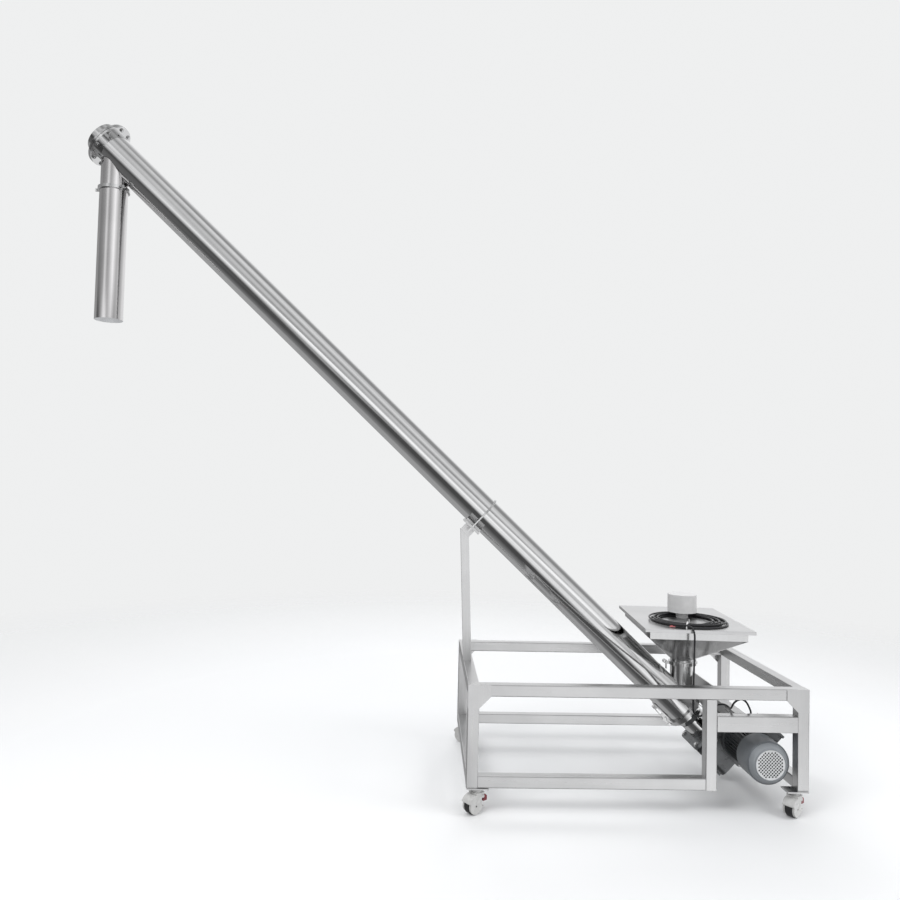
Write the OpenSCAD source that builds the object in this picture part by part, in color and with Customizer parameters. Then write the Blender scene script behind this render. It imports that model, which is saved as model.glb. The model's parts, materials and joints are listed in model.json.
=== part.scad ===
// Inclined screw conveyor on a castored frame, with a loading hopper and a worm gear motor.
// Millimetres. +Z is up, the conveyor rises towards -X, and the frame's front is at -Y.

/* [Frame] */
// Length of the frame
frame_l = 1500; // [1400:10:1800]
// Depth of the frame
frame_w = 900; // [800:10:1200]
// Height of the tube frame, without the casters
frame_h = 440; // [420:5:600]
// Side of the square frame tube
rail = 50; // [40:1:55]
// Wall of the frame tube
rail_wall = 3; // [2:0.5:4]
// Distance from the frame's left end to the front mid post
mid_post_x = 1043; // [950:1:1080]
// Depth of section of the rail over the motor bay
bay_rail_h = 70; // [50:1:80]
// Height of the bay rail's top over the frame's underside
bay_rail_top = 320; // [300:1:340]
// Side of the corner plates
gusset = 100; // [80:1:140]
// Thickness of the corner plates
gusset_t = 3; // [2:0.5:5]
// Side of the square post under the conveyor
post = 40; // [30:1:45]
// Distance from the frame's left end to the foot of that post
post_x = 20; // [20:1:24]
// Lean of that post away from the hopper
post_lean = 2.5; // [0:0.5:5]

/* [Casters] */
// Wheel diameter
wheel_d = 75; // [65:1:78]
// Wheel width
wheel_w = 32; // [26:1:36]
// Height from the floor to the frame's foot plates
caster_h = 105; // [103:1:120]
// Distance from the swivel axis to the wheel's axle
trail = 25; // [20:1:27]
// Angle that each caster has swivelled to
heading = 38; // [0:1:60]
// Length of the foot plates
plate_l = 95; // [80:1:100]
// Width of the foot plates
plate_w = 66; // [60:1:80]
// Thickness of the foot plates
plate_t = 5; // [4:0.5:8]
// Radius of the swivel pins
kingpin_r = 6; // [5:0.5:8]

/* [Conveyor] */
// Angle of the conveyor over the floor
tilt = 43.1; // [42:0.1:44]
// Length of the casing tube
casing_l = 4000; // [3800:10:4200]
// Outside radius of the casing tube
casing_r = 81; // [78:0.5:84]
// Wall of the casing tube
casing_wall = 2; // [1.5:0.5:3]
// Place of the casing's lower end along the frame
joint_x = 1099; // [1095:1:1102]
// Height of the casing's lower end
joint_z = 323; // [320:1:326]
// Radius of the flanges at the upper end
flange_r = 116; // [110:1:125]
// Thickness of each flange
flange_t = 11; // [8:0.5:14]
// Length of the upper bearing housing
cap_l = 45; // [40:1:60]
// Outside radius of the screw flight
flight_r = 74; // [70:0.5:75]
// Thickness of the flight
flight_t = 4; // [3:0.5:6]
// Pitch of the flight
pitch = 120; // [100:5:160]
// Outside radius of the screw's tube
shaft_r = 30; // [24:0.5:36]
// Wall of the screw's tube
shaft_wall = 4; // [3:0.5:6]
// Radius of the upper journal
top_journal_r = 20; // [16:0.5:22]
// Radius of the drive stub
stub_r = 17.5; // [15:0.5:20]

/* [Spout] */
// Distance from the frame's left end to the spout's axis, to the left
spout_x = 1791; // [1780:1:1795]
// Outside radius of the spout's pipes
spout_r = 66; // [62:0.5:68]
// Wall of the spout's pipes
spout_wall = 1.5; // [1:0.5:3]
// Height of the joint between pipe and sleeve
spout_z = 2830; // [2820:1:2840]
// Length of the sleeve
sleeve_l = 650; // [400:10:900]

/* [Hopper] */
// Distance from the frame's left end to the hopper's neck
hopper_x = 1088; // [1085:1:1090]
// Angle that the hopper is clamped at
hopper_yaw = -4; // [-8:1:8]
// Outside radius of the neck
neck_r = 54; // [50:0.5:56]
// Wall of the neck
neck_wall = 2; // [1.5:0.5:3]
// Height of the joint in the neck
neck_z = 553; // [545:1:570]
// Width of the hopper
hopper_w = 446; // [400:1:480]
// Depth of the hopper
hopper_d = 580; // [540:5:640]
// Height of the hopper's upright band
band_h = 50; // [30:1:80]
// Height of the sloping part
cone_h = 151; // [130:1:180]
// Height of the pipe under the sloping part
throat_h = 19; // [14:1:30]
// Sheet thickness of hopper and lid
sheet = 2; // [1.5:0.5:3]
// How far the lid reaches past the hopper
lid_lap = 27; // [15:1:30]
// Height of the lid's turned-down edge
lid_skirt = 13; // [8:1:20]
// Diameter of the white cap
cap_d = 140; // [120:1:142]
// Height of the white cap
cap_h = 88; // [70:1:100]

/* [Drive] */
// Distance from the casing's end to the gearbox's centre, along the screw
gear_s = 245; // [240:1:250]
// Distance between the output axis and the motor axis
centres = 85; // [83:1:88]
// Length of the lantern tube
lantern_l = 75; // [70:1:80]
// Outside radius of the lantern tube
lantern_r = 63; // [60:0.5:66]
// Length of the dished cover at the casing's lower end
cover_l = 52; // [48:1:56]
// Side of the gearbox's square flanges
flange_side = 200; // [190:1:206]
// Radius of the motor's ribbed body
motor_r = 86; // [80:1:90]
// Length of the motor's ribbed body
motor_l = 182; // [170:1:190]
// Radius of the fan cover
fan_cover_r = 95; // [92:1:98]
// Length of the fan cover's straight part
fan_cover_l = 98; // [90:1:104]
// Radius of the holes in the fan cover
vent_r = 3.2; // [2:0.1:3.4]
// Spacing of those holes
vent_pitch = 9.5; // [9:0.5:12]

/* [Cord] */
// Diameter of the motor's cable
cord_d = 8.5; // [8:0.5:9]
// Outside radius of the coil on the lid
coil_r = 195; // [190:1:200]
// Inside radius of the coil on the lid
coil_in = 150; // [150:1:160]
// Height of the coil on the lid
coil_h = 26; // [18:1:30]

/* [Hidden] */
// "part" values: "all" draws every piece, and a node's name draws that piece alone

$fn = 64;
eps = 0.01;
gap = 0.3;   // between pieces on different bodies
snug = 0.2;  // between curved pieces on one body
run = 0.05;  // between a shaft and its bore

steel = "gainsboro";
bright = "whitesmoke";
paint = "lightslategray";
pale = "silver";
black = "dimgray";

// Frame levels and places
frame_z = caster_h + plate_t;
top_z = frame_z + frame_h;
under_z = top_z - rail;
bay_top = frame_z + bay_rail_top;
half_w = frame_w / 2;
drive_x = joint_x + 90;

// The part's origin is under the middle of its whole length
cap_r = casing_r;
far_s = casing_l + flange_t + cap_l;
left_x = joint_x - far_s * cos(tilt) - cap_r * sin(tilt);
mid_x = (left_x + frame_l) / 2;

// Casting of the gearbox
box_t = 140;          // along the output axis
box_y = 103;          // half its depth
box_low = 98;         // from the output axis to the foot face
box_high = 135;       // from the output axis to the worm side
flange_plate = 14;
face_s = cover_l + lantern_l;
motor_y = box_y + flange_plate;
shield = 18;          // length of the motor's drive-end shield
rib_y = motor_y + shield;
fan_y = rib_y + motor_l;
fan_front = fan_y + fan_cover_l;
dome = 25;
grille_r = 62;
cover_wall = 2.5;
rotor_r = 12;

// Worm set
worm_r = 27;
wheel_gap = 2;
gear_r = centres - worm_r - wheel_gap;
sleeve_bore = stub_r + run;
output_r = 27;

// Casters
axle_z = wheel_d / 2;
kingpin_l = 16;
head_r = 22;
head_h = 16;
head_z = caster_h - gap - head_h;
swivel_x = rail;
swivel_y = half_w - rail / 2;
fork_gap = 1;
shield_t = 9;
axle_r = 4;
shield_r = wheel_d / 2 - 3.5;
hood_in = wheel_d / 2 + 2.5;
hood_t = 4;
hood_r = hood_in + hood_t;
half_fork = wheel_w / 2 + fork_gap;
pedal_x = 14;
pedal_z = axle_z + 34;
pedal_pin_r = 3;
cheek_t = 3;

// Hopper levels
ferrule_t = 5;
lip_gap = 1.2;        // from the sleeve's wall to the spout clamp's lips
cone_z = neck_z + throat_h;
band_z = cone_z + cone_h;
rim_z = band_z + band_h;
lid_z = rim_z + sheet;
cap_x = hopper_x + 2;
cap_y = 5;
cap_lift = 28;
cap_stem_r = 30;

// Saddle and post head
saddle_t = 12;
saddle_l = 89;
saddle_w = 100;
pad_h = 3;
head_t = 40;
head_l = 55;
head_lip = 1.5;
head_n = casing_r + pad_h + saddle_t + head_t;
post_len = (-head_n - (post_x - joint_x) * sin(tilt) - (top_z - joint_z) * cos(tilt))
         / (cos(post_lean) * cos(tilt) - sin(post_lean) * sin(tilt));
head_x = post_x - post_len * sin(post_lean);
head_zc = top_z + post_len * cos(post_lean);
saddle_s = (joint_x - head_x) * cos(tilt) + (head_zc - joint_z) * sin(tilt);

// Clamp ring at the casing's lower end
ring_r = 95;
ring_w = 22;
ferrule_r = ring_r - 4;

// Cord: its end at the gland follows the terminal box
coil_x = hopper_x - 6;
coil_y = -110;
cord_r = cord_d / 2;
cord_route = [
    [975, -268, 788], [990, -276, 789], [1004, -287, 790], [1015, -301, 790],
    [1022, -315, 787], [1026, -327, 779], [1028, -335, 767], [1029, -339, 753],
    [1029, -340, 735], [1029, -339, 700], [1028, -339, 640], [1027, -339, 580], [1026, -339, 520],
    [1026, -339, 470], [1026, -338, 426], [1029, -337, 412], [1038, -335, 400],
    [1051, -331, 393], [1066, -326, 392], [1079, -320, 398], [1088, -315, 406],
    [1096, -310, 412], [1107, -303, 416], [1120, -292, 418], [1134, -280, 419],
    [1146, -272, 421], [1158, -269, 424], [1172, -271, 428], [1183, -279, 432],
    [1190, -291, 434], [1192, -305, 435], [1192, -325, 435], [1191, -345, 435],
    [1189, -362, 440], [1188, -375, 452], [1192, -384, 468], [1203, -389, 481],
    [1219, -390, 487], [1235, -388, 484], [1249, -382, 473], [1261, -373, 459],
    [1272, -361, 444], [1283, -345, 430], [1295, -325, 415], [1306, -302, 401],
    [1317, -281, 389], [1328, -263, 377], [1340, -251, 366]
];

// Moves a piece from frame coordinates (X from the frame's left end) to the part's own frame
module placed() {
    translate([-mid_x, 0, 0]) children();
}

// Conveyor coordinates: Z up along the screw from the casing's lower end, X square to it
module inclined() {
    placed() translate([joint_x, 0, joint_z]) rotate([0, tilt - 90, 0]) children();
}

// Drive coordinates: Z along the motor towards the front, X square to the screw, Y up along it
module drive() {
    inclined() translate([centres, 0, -gear_s]) rotate([90, 0, 0]) children();
}

module ring(outer, inner, h) {
    difference() {
        cylinder(r = outer, h = h);
        translate([0, 0, -1]) cylinder(r = inner, h = h + 2);
    }
}

// Hollow square tubes along X, Y and Z
module tube_x(l, w, h) {
    difference() {
        cube([l, w, h]);
        translate([-1, rail_wall, rail_wall]) cube([l + 2, w - 2 * rail_wall, h - 2 * rail_wall]);
    }
}

module tube_y(l, w, h) {
    difference() {
        cube([w, l, h]);
        translate([rail_wall, -1, rail_wall]) cube([w - 2 * rail_wall, l + 2, h - 2 * rail_wall]);
    }
}

module tube_z(l, w) {
    difference() {
        cube([w, w, l]);
        translate([rail_wall, rail_wall, -1]) cube([w - 2 * rail_wall, w - 2 * rail_wall, l + 2]);
    }
}

// ---- Frame ----

// One leg with its cap, corner plate, foot plate and swivel pin. sx and sy name the corner.
module leg(sx, sy) {
    drain_r = 5;
    color(steel) placed() translate([frame_l / 2, 0, 0]) mirror([sx > 0 ? 1 : 0, 0, 0])
    mirror([0, sy > 0 ? 1 : 0, 0]) translate([-frame_l / 2, -half_w, 0]) {
        difference() {
            union() {
                translate([0, 0, frame_z]) cube([rail, rail, frame_h]);
                translate([rail - plate_l / 2, rail / 2 - plate_w / 2, caster_h])
                    cube([plate_l, plate_w, plate_t]);
                translate([0, 0, top_z]) rotate([90, 0, 0]) linear_extrude(gusset_t)
                    polygon([[0, 0], [gusset, 0], [gusset, -rail], [rail, -gusset], [0, -gusset]]);
                translate([0, eps, top_z]) rotate([90, 0, 0]) linear_extrude(gusset_t + eps)
                    polygon([[0, 0], [rail, 0], [rail, -gusset], [0, -gusset]]);
            }
            translate([rail_wall, rail_wall, frame_z])
                cube([rail - 2 * rail_wall, rail - 2 * rail_wall, frame_h - rail_wall]);
            translate([rail / 2 - 6, rail / 2, caster_h - 1]) cylinder(r = drain_r, h = plate_t + 2);
        }
        translate([rail, rail / 2, caster_h - kingpin_l]) cylinder(r = kingpin_r, h = kingpin_l + eps);
    }
}

module top_rail_front() {
    color(steel) placed() translate([rail, -half_w, under_z]) tube_x(frame_l - 2 * rail, rail, rail);
}

module top_rail_back() {
    color(steel) placed() translate([rail, half_w - rail, under_z]) tube_x(frame_l - 2 * rail, rail, rail);
}

module top_rail_left() {
    color(steel) placed() translate([0, rail - half_w, under_z]) tube_y(frame_w - 2 * rail, rail, rail);
}

module top_rail_right() {
    color(steel) placed() translate([frame_l - rail, rail - half_w, under_z])
        tube_y(frame_w - 2 * rail, rail, rail);
}

module bottom_rail_front() {
    color(steel) placed() translate([rail, -half_w, frame_z]) tube_x(mid_post_x - rail, rail, rail);
}

module bottom_rail_back() {
    color(steel) placed() translate([rail, half_w - rail, frame_z]) tube_x(frame_l - 2 * rail, rail, rail);
}

module bottom_rail_left() {
    color(steel) placed() translate([0, rail - half_w, frame_z]) tube_y(frame_w - 2 * rail, rail, rail);
}

module bottom_rail_right() {
    color(steel) placed() translate([frame_l - rail, rail - half_w, frame_z])
        tube_y(frame_w - 2 * rail, rail, rail);
}

module mid_post() {
    color(steel) placed() translate([mid_post_x, -half_w, frame_z]) {
        tube_z(frame_h - rail, rail);
        cube([rail, rail, rail_wall]);
    }
}

module bay_rail() {
    start = mid_post_x + rail;
    color(steel) placed() translate([start, -half_w, bay_top - bay_rail_h])
        tube_x(frame_l - rail - start, rail, bay_rail_h);
}

module back_post() {
    color(steel) placed() translate([drive_x, half_w - rail, frame_z + rail])
        tube_z(frame_h - 2 * rail, rail);
}

module drive_beam() {
    color(steel) placed() translate([drive_x, rail - half_w, bay_top - rail])
        tube_y(frame_w - 2 * rail, rail, rail);
}

// Plate on the beam's side that carries the lantern tube, with its bolts
module drive_plate() {
    reach = 190;
    t = 6;
    rise = 52;
    low = 330 + 10;
    bolt_z = bay_top - rail / 2;
    color(pale) {
        difference() {
            placed() translate([drive_x - t, -reach, low]) cube([t, 2 * reach, bay_top + rise - low]);
            inclined() translate([0, 0, -face_s]) cylinder(r = lantern_r + snug, h = face_s + ring_w);
            inclined() translate([0, 0, -cover_l]) cylinder(r = ring_r - 12, h = cover_l);
        }
        for (y = [-160, -100, 100, 160])
            placed() translate([drive_x - t + eps, y, bolt_z]) rotate([0, -90, 0]) cylinder(r = 8.5, h = 6.4, $fn = 6);
    }
}

// Leaning post with its head, square to the casing
module support_post() {
    inner = post - 2 * rail_wall;
    color(steel) {
        difference() {
            placed() translate([post_x, 0, top_z]) rotate([0, -post_lean, 0])
                translate([-post / 2, -post / 2, -rail]) cube([post, post, post_len + 2 * rail]);
            placed() translate([post_x, 0, top_z]) rotate([0, -post_lean, 0])
                translate([-inner / 2, -inner / 2, -2 * rail]) cube([inner, inner, post_len + 4 * rail]);
            placed() translate([post_x - 200, -100, top_z - 200]) cube([400, 200, 200]);
            inclined() translate([2 - head_n, -100, saddle_s - 300]) cube([400, 200, 600]);
        }
        inclined() translate([-head_n, -post / 2 - head_lip, saddle_s - head_l / 2])
            cube([head_t, post + 2 * head_lip, head_l]);
    }
}

// Flat plate and curved pad that the casing lies in
module saddle() {
    bolt_y = casing_r + 5;
    color(steel) difference() {
        inclined() translate([0, 0, saddle_s - saddle_l / 2]) {
            translate([-casing_r - pad_h - saddle_t, -saddle_w, 0]) cube([saddle_t, 2 * saddle_w, saddle_l]);
            translate([-casing_r - pad_h - eps, -40, 0]) cube([14, 80, saddle_l]);
        }
        inclined() cylinder(r = casing_r + snug, h = casing_l);
        for (side = [-1, 1])
            inclined() translate([-head_n, side * bolt_y, saddle_s]) rotate([0, 90, 0])
                cylinder(r = 4 + snug, h = 2 * head_t);
    }
}

// Round bar over the casing, through the saddle, with a nut and washer at each end
module u_bolt() {
    bolt_r = 4;
    bolt_y = casing_r + 5;
    seat_n = -casing_r - pad_h - saddle_t;
    color(pale) inclined() translate([0, 0, saddle_s]) {
        rotate([0, 0, -90]) rotate_extrude(angle = 180, $fn = 96) translate([bolt_y, 0]) circle(r = bolt_r);
        for (side = [-1, 1]) {
            translate([seat_n - 20, side * bolt_y, 0]) rotate([0, 90, 0])
                cylinder(r = bolt_r, h = 20 - seat_n + eps);
            translate([seat_n - 7, side * bolt_y, 0]) rotate([0, 90, 0]) cylinder(r = 7.5, h = 7, $fn = 6);
            translate([seat_n + saddle_t, side * bolt_y, 0]) rotate([0, 90, 0])
                cylinder(r = 7.5, h = 5, $fn = 6);
        }
    }
}

// ---- Conveyor ----

module casing() {
    bolt_circle = flange_r - 14;
    color(bright) difference() {
        inclined() union() {
            cylinder(r = casing_r, h = casing_l);
            translate([0, 0, casing_l - flange_t]) cylinder(r = flange_r, h = flange_t);
            cylinder(r = ferrule_r, h = 4);
        }
        inclined() translate([0, 0, -1]) cylinder(r = casing_r - casing_wall, h = casing_l + 2);
        inclined() for (i = [0:7]) rotate([0, 0, 22.5 + 45 * i])
            translate([bolt_circle, 0, casing_l - flange_t - 1]) cylinder(r = 5, h = flange_t + 2);
        placed() translate([-spout_x, 0, spout_z]) cylinder(r = spout_r - spout_wall, h = spout_reach());
        placed() translate([hopper_x, 0, axis_height(hopper_x)]) cylinder(r = neck_r - neck_wall, h = 300);
    }
}

// Height of the screw's axis over the floor at a place along the frame
function axis_height(x) = joint_z + (joint_x - x) * tan(tilt);

// Length of a pipe that reaches from the spout's joint to the screw's axis
function spout_reach() = axis_height(-spout_x) - spout_z;

// Flange cover with the upper bearing housing in one piece
module end_cover() {
    bolt_circle = flange_r - 14;
    nut_r = 14;
    color(steel) inclined() translate([0, 0, casing_l]) difference() {
        union() {
            cylinder(r = flange_r, h = flange_t);
            translate([0, 0, flange_t]) cylinder(r = cap_r, h = cap_l);
        }
        translate([0, 0, -1]) cylinder(r = top_journal_r + run, h = flange_t + cap_l - 14);
        translate([0, 0, flange_t + cap_l - 5]) ring(cap_r - 10, nut_r, 6);
        for (i = [0:7]) rotate([0, 0, 22.5 + 45 * i])
            translate([bolt_circle, 0, -1]) cylinder(r = 5, h = flange_t + 2);
    }
}

// Bolts through both flanges, with a head above and a nut below
module flange_bolts() {
    bolt_circle = flange_r - 14;
    color(pale) inclined() for (i = [0:7]) rotate([0, 0, 22.5 + 45 * i])
        translate([bolt_circle, 0, casing_l]) {
            translate([0, 0, -flange_t - 8]) cylinder(r = 5 - snug, h = 2 * flange_t + 16);
            translate([0, 0, flange_t]) cylinder(r = 8.5, h = 6.4, $fn = 6);
            translate([0, 0, -flange_t - 7]) cylinder(r = 8.5, h = 7, $fn = 6);
        }
}

module spout_pipe() {
    color(bright) difference() {
        placed() translate([-spout_x, 0, spout_z]) {
            cylinder(r = spout_r - spout_wall - 1, h = spout_reach());
            cylinder(r = spout_r + 4, h = ferrule_t);
        }
        placed() translate([-spout_x, 0, spout_z - 1])
            cylinder(r = spout_r - 2 * spout_wall - 1, h = spout_reach() + 2);
        inclined() cylinder(r = casing_r + snug, h = far_s);
    }
}

// Two half bands around the joint, with an ear and a bolt on each side
module spout_clamp() {
    band_t = 4;
    r = spout_r + 4 + snug;
    ears = [180, -40];
    color(pale) placed() translate([-spout_x, 0, spout_z]) {
        translate([0, 0, -ferrule_t - 3]) difference() {
            union() {
                cylinder(r = r + band_t, h = 2 * ferrule_t + 6);
                for (a = ears) rotate([0, 0, a]) translate([r + 1, -5, 0.5]) cube([19, 10, 2 * ferrule_t + 5]);
            }
            translate([0, 0, 3 - snug]) cylinder(r = r, h = 2 * ferrule_t + 2 * snug);
            translate([0, 0, -1]) cylinder(r = spout_r + lip_gap, h = 2 * ferrule_t + 8);
        }
        for (a = ears) rotate([0, 0, a]) translate([r + 12, 14, 0]) rotate([90, 0, 0]) cylinder(r = 4, h = 28);
    }
}

module spout_sleeve() {
    color(bright) placed() translate([-spout_x, 0, spout_z - sleeve_l]) difference() {
        union() {
            cylinder(r = spout_r, h = sleeve_l);
            translate([0, 0, sleeve_l - ferrule_t]) cylinder(r = spout_r + 4, h = ferrule_t);
        }
        translate([0, 0, -1]) cylinder(r = spout_r - spout_wall, h = sleeve_l + 2);
    }
}

module inlet_neck() {
    color(bright) difference() {
        placed() translate([hopper_x, 0, axis_height(hopper_x)]) {
            cylinder(r = neck_r, h = neck_z - axis_height(hopper_x));
            translate([0, 0, neck_z - axis_height(hopper_x) - ferrule_t])
                cylinder(r = neck_r + 5, h = ferrule_t);
        }
        placed() translate([hopper_x, 0, axis_height(hopper_x) - 1])
            cylinder(r = neck_r - neck_wall, h = 400);
        inclined() cylinder(r = casing_r + snug, h = casing_l);
        inclined() translate([0, 0, -cover_l]) cylinder(r = ring_r + 1, h = cover_l + ring_w / 2 + 1);
    }
}

// Band around the neck's ferrules, with a curled handle, a hanging lever and an ear
module neck_clamp() {
    band_t = 4;
    r = neck_r + 5 + snug;
    h = 2 * ferrule_t + 6;
    casing_top = axis_height(hopper_x - r - 20) + casing_r / cos(tilt);
    lever_l = neck_z + 2 - casing_top - 4;
    color(pale) placed() translate([hopper_x, 0, neck_z]) {
        translate([0, 0, -h / 2]) difference() {
            union() {
                cylinder(r = r + band_t, h = h);
                translate([-r - 22, -8, 2]) cube([24, 16, h - 4]);
                translate([r - 2, -6, 2]) cube([22, 12, h - 4]);
            }
            translate([0, 0, 3 - snug]) cylinder(r = r, h = 2 * ferrule_t + 2 * snug);
            translate([0, 0, -1]) cylinder(r = neck_r + snug, h = h + 2);
        }
        translate([-r - 24, 10, 6]) rotate([90, 0, 0]) ring(10, 6, 20);
        translate([-r - 20, -6, 2 - lever_l]) cube([5, 12, lever_l]);
        translate([r + 12, 0, -16]) cylinder(r = 4, h = 32);
    }
}

// Square band, sloping part and throat in one open sheet-metal piece
module hopper() {
    w = hopper_w;
    d = hopper_d;
    color(bright) placed() translate([hopper_x, 0, 0]) rotate([0, 0, hopper_yaw]) {
        difference() {
            union() {
                translate([-w / 2, -d / 2, band_z]) cube([w, d, band_h]);
                hull() {
                    translate([-w / 2, -d / 2, band_z]) cube([w, d, eps]);
                    translate([0, 0, cone_z]) cylinder(r = neck_r, h = eps, $fn = 48);
                }
            }
            translate([sheet - w / 2, sheet - d / 2, band_z]) cube([w - 2 * sheet, d - 2 * sheet, band_h + 1]);
            hull() {
                translate([sheet - w / 2, sheet - d / 2, band_z]) cube([w - 2 * sheet, d - 2 * sheet, 2 * eps]);
                translate([0, 0, cone_z - eps]) cylinder(r = neck_r - neck_wall, h = eps, $fn = 48);
            }
        }
        difference() {
            translate([0, 0, neck_z]) {
                cylinder(r = neck_r, h = throat_h + 0.4);
                cylinder(r = neck_r + 5, h = ferrule_t);
            }
            translate([0, 0, neck_z - 1]) cylinder(r = neck_r - neck_wall - eps, h = throat_h + 3);
        }
    }
}

// Flat lid with a turned-down edge, resting on the hopper's rim
module hopper_lid() {
    w = hopper_w + 2 * lid_lap;
    d = hopper_d + 2 * lid_lap;
    color(bright) placed() translate([hopper_x - 2, -6, lid_z]) rotate([0, 0, hopper_yaw]) difference() {
        translate([-w / 2, -d / 2, -sheet - lid_skirt]) cube([w, d, sheet + lid_skirt]);
        translate([sheet - w / 2, sheet - d / 2, -2 * lid_skirt - sheet])
            cube([w - 2 * sheet, d - 2 * sheet, 2 * lid_skirt]);
    }
}

// Plastic cap on its stem, standing on the lid
module white_cap() {
    wall = 4;
    color("white") placed() translate([cap_x, cap_y, lid_z]) {
        difference() {
            translate([0, 0, cap_lift]) cylinder(d = cap_d, h = cap_h);
            translate([0, 0, cap_lift - 1]) cylinder(d = cap_d - 2 * wall, h = cap_h - wall + 1);
        }
        cylinder(r = cap_stem_r, h = cap_lift + cap_h - wall + eps);
    }
}

// Band that holds the bottom cover to the casing
module clamp_ring() {
    color(pale) inclined() difference() {
        union() {
            translate([0, 0, -ring_w / 2]) cylinder(r = ring_r, h = ring_w);
            rotate([0, 0, 180]) translate([ring_r - 3, -9, -ring_w / 2 + 3]) cube([14, 18, ring_w - 6]);
        }
        translate([0, 0, -4 - snug]) cylinder(r = ferrule_r + snug, h = 8 + 2 * snug);
        translate([0, 0, -ring_w]) cylinder(r = casing_r + snug, h = 2 * ring_w);
    }
}

// Dished cover with the lower bearing's bore
module bottom_cover() {
    step = 6;
    color(bright) inclined() difference() {
        union() {
            translate([0, 0, -4]) cylinder(r = ferrule_r, h = 4);
            translate([0, 0, -ring_w / 2 - step]) cylinder(r = casing_r, h = ring_w / 2 + step);
            translate([0, 0, -cover_l]) cylinder(r1 = lantern_r, r2 = casing_r, h = cover_l - ring_w / 2 - step);
        }
        translate([0, 0, -cover_l / 2]) cylinder(r = casing_r - 8, h = cover_l);
        translate([0, 0, -cover_l - 1]) cylinder(r = stub_r + run, h = cover_l);
    }
}

// Tube between the cover and the gearbox, open at the front to reach the shaft
module lantern() {
    wall = 5;
    slot = 34;
    color(steel) inclined() translate([0, 0, -face_s]) difference() {
        cylinder(r = lantern_r, h = lantern_l);
        translate([0, 0, -1]) cylinder(r = lantern_r - wall, h = lantern_l + 2);
        rotate([0, 0, 12]) translate([-slot / 2, -lantern_r - 1, 9]) cube([slot, lantern_r, lantern_l - 20]);
    }
}

// Toggle latch under the casing: base plate, two pivots, lever and hook
module latches() {
    n0 = -casing_r;
    color(pale) inclined() difference() {
        union() {
            translate([n0 - 5, -11, 12]) cube([7, 22, 118]);
            translate([n0 - 17, -8, 100]) cube([13, 16, 20]);
            translate([n0 - 22, -6, 60]) rotate([0, 6, 0]) cube([5, 12, 44]);
            translate([n0 - 19, -8, 44]) cube([15, 16, 18]);
            translate([n0 - 14, 8, 110]) rotate([90, 0, 0]) cylinder(r = 5, h = 28, center = true);
            translate([n0 - 19, 0, 36]) rotate([90, 0, 0]) cylinder(r = 9, h = 14, center = true);
            translate([n0 - 24, -5, 12]) cube([6, 10, 30]);
        }
        translate([0, 0, -1]) cylinder(r = casing_r + snug, h = 200);
    }
}

// Screw tube with a journal at the top and the drive stub at the bottom
module auger_shaft() {
    start = 30;
    stop = casing_l - 12;
    plug = 20;
    stub_end = -gear_s - box_t / 2 - 6;
    color(steel) inclined() {
        difference() {
            translate([0, 0, start]) cylinder(r = shaft_r, h = stop - start);
            translate([0, 0, start + plug]) cylinder(r = shaft_r - shaft_wall, h = stop - start - 2 * plug);
            translate([0, 0, start + plug + 10]) rotate([90, 0, 0]) cylinder(r = 2, h = shaft_r + 1);
        }
        translate([0, 0, stop - eps]) cylinder(r = top_journal_r, h = casing_l + flange_t + 25 - stop);
        translate([0, 0, stub_end]) cylinder(r = stub_r, h = start - stub_end + eps);
    }
}

// Continuous helical flight, wound by extruding a thin sector with a twist
module auger_flight() {
    start = 34;
    turns = floor((casing_l - 120 - start) / pitch);
    half = 180 * flight_t / pitch;
    inner = shaft_r - 0.2;
    color(steel) inclined() translate([0, 0, start])
        linear_extrude(turns * pitch, twist = -360 * turns, slices = 24 * turns, $fn = 4)
            polygon([
                [inner * cos(-half), inner * sin(-half)], [flight_r * cos(-half), flight_r * sin(-half)],
                [flight_r * cos(half), flight_r * sin(half)], [inner * cos(half), inner * sin(half)]
            ]);
}

// ---- Drive ----

// Hollow output shaft with its worm wheel
module output_sleeve() {
    l = box_t + 2;
    color(pale) inclined() translate([0, 0, -gear_s]) difference() {
        union() {
            translate([0, 0, -l / 2]) cylinder(r = output_r, h = l);
            translate([0, 0, -15]) cylinder(r = gear_r, h = 30);
        }
        translate([0, 0, -l]) cylinder(r = sleeve_bore, h = 2 * l);
    }
}

// Cast housing with the output flange and the motor flange
module gearbox() {
    edge = 26;
    cavity_r = gear_r + 6;
    color(paint) difference() {
        union() {
            inclined() translate([0, 0, -gear_s - box_t / 2]) linear_extrude(box_t)
                rounded_rect(-box_low, -box_y, box_high, box_y, edge);
            inclined() translate([0, 0, -face_s - flange_plate]) linear_extrude(flange_plate)
                rounded_rect(-flange_side / 2, -flange_side / 2, flange_side / 2, flange_side / 2, edge);
            inclined() translate([0, 0, box_t / 2 - gear_s - eps])
                cylinder(r = 74, h = gear_s - box_t / 2 - face_s);
            drive() translate([0, 0, box_y - eps]) linear_extrude(flange_plate)
                rounded_rect(-flange_side / 2, -flange_side / 2, flange_side / 2, flange_side / 2, edge);
            inclined() translate([-box_low - 10, -70, -gear_s - box_t / 2 - 4]) cube([12, 140, 14]);
        }
        inclined() translate([0, 0, -gear_s - box_t]) cylinder(r = output_r + run, h = 2 * box_t);
        inclined() translate([0, 0, -gear_s - 24]) cylinder(r = cavity_r, h = 48);
        inclined() translate([0, 0, -face_s - 40]) cylinder(r = 40, h = 60);
        drive() translate([0, 0, -box_y + 12]) cylinder(r = worm_r + 5, h = motor_y + box_y);
        inclined() for (x = [-80, 80], y = [-80, 80])
            translate([x, y, -face_s - flange_plate - 1]) cylinder(r = 5.5, h = flange_plate + 2);
    }
}

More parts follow.
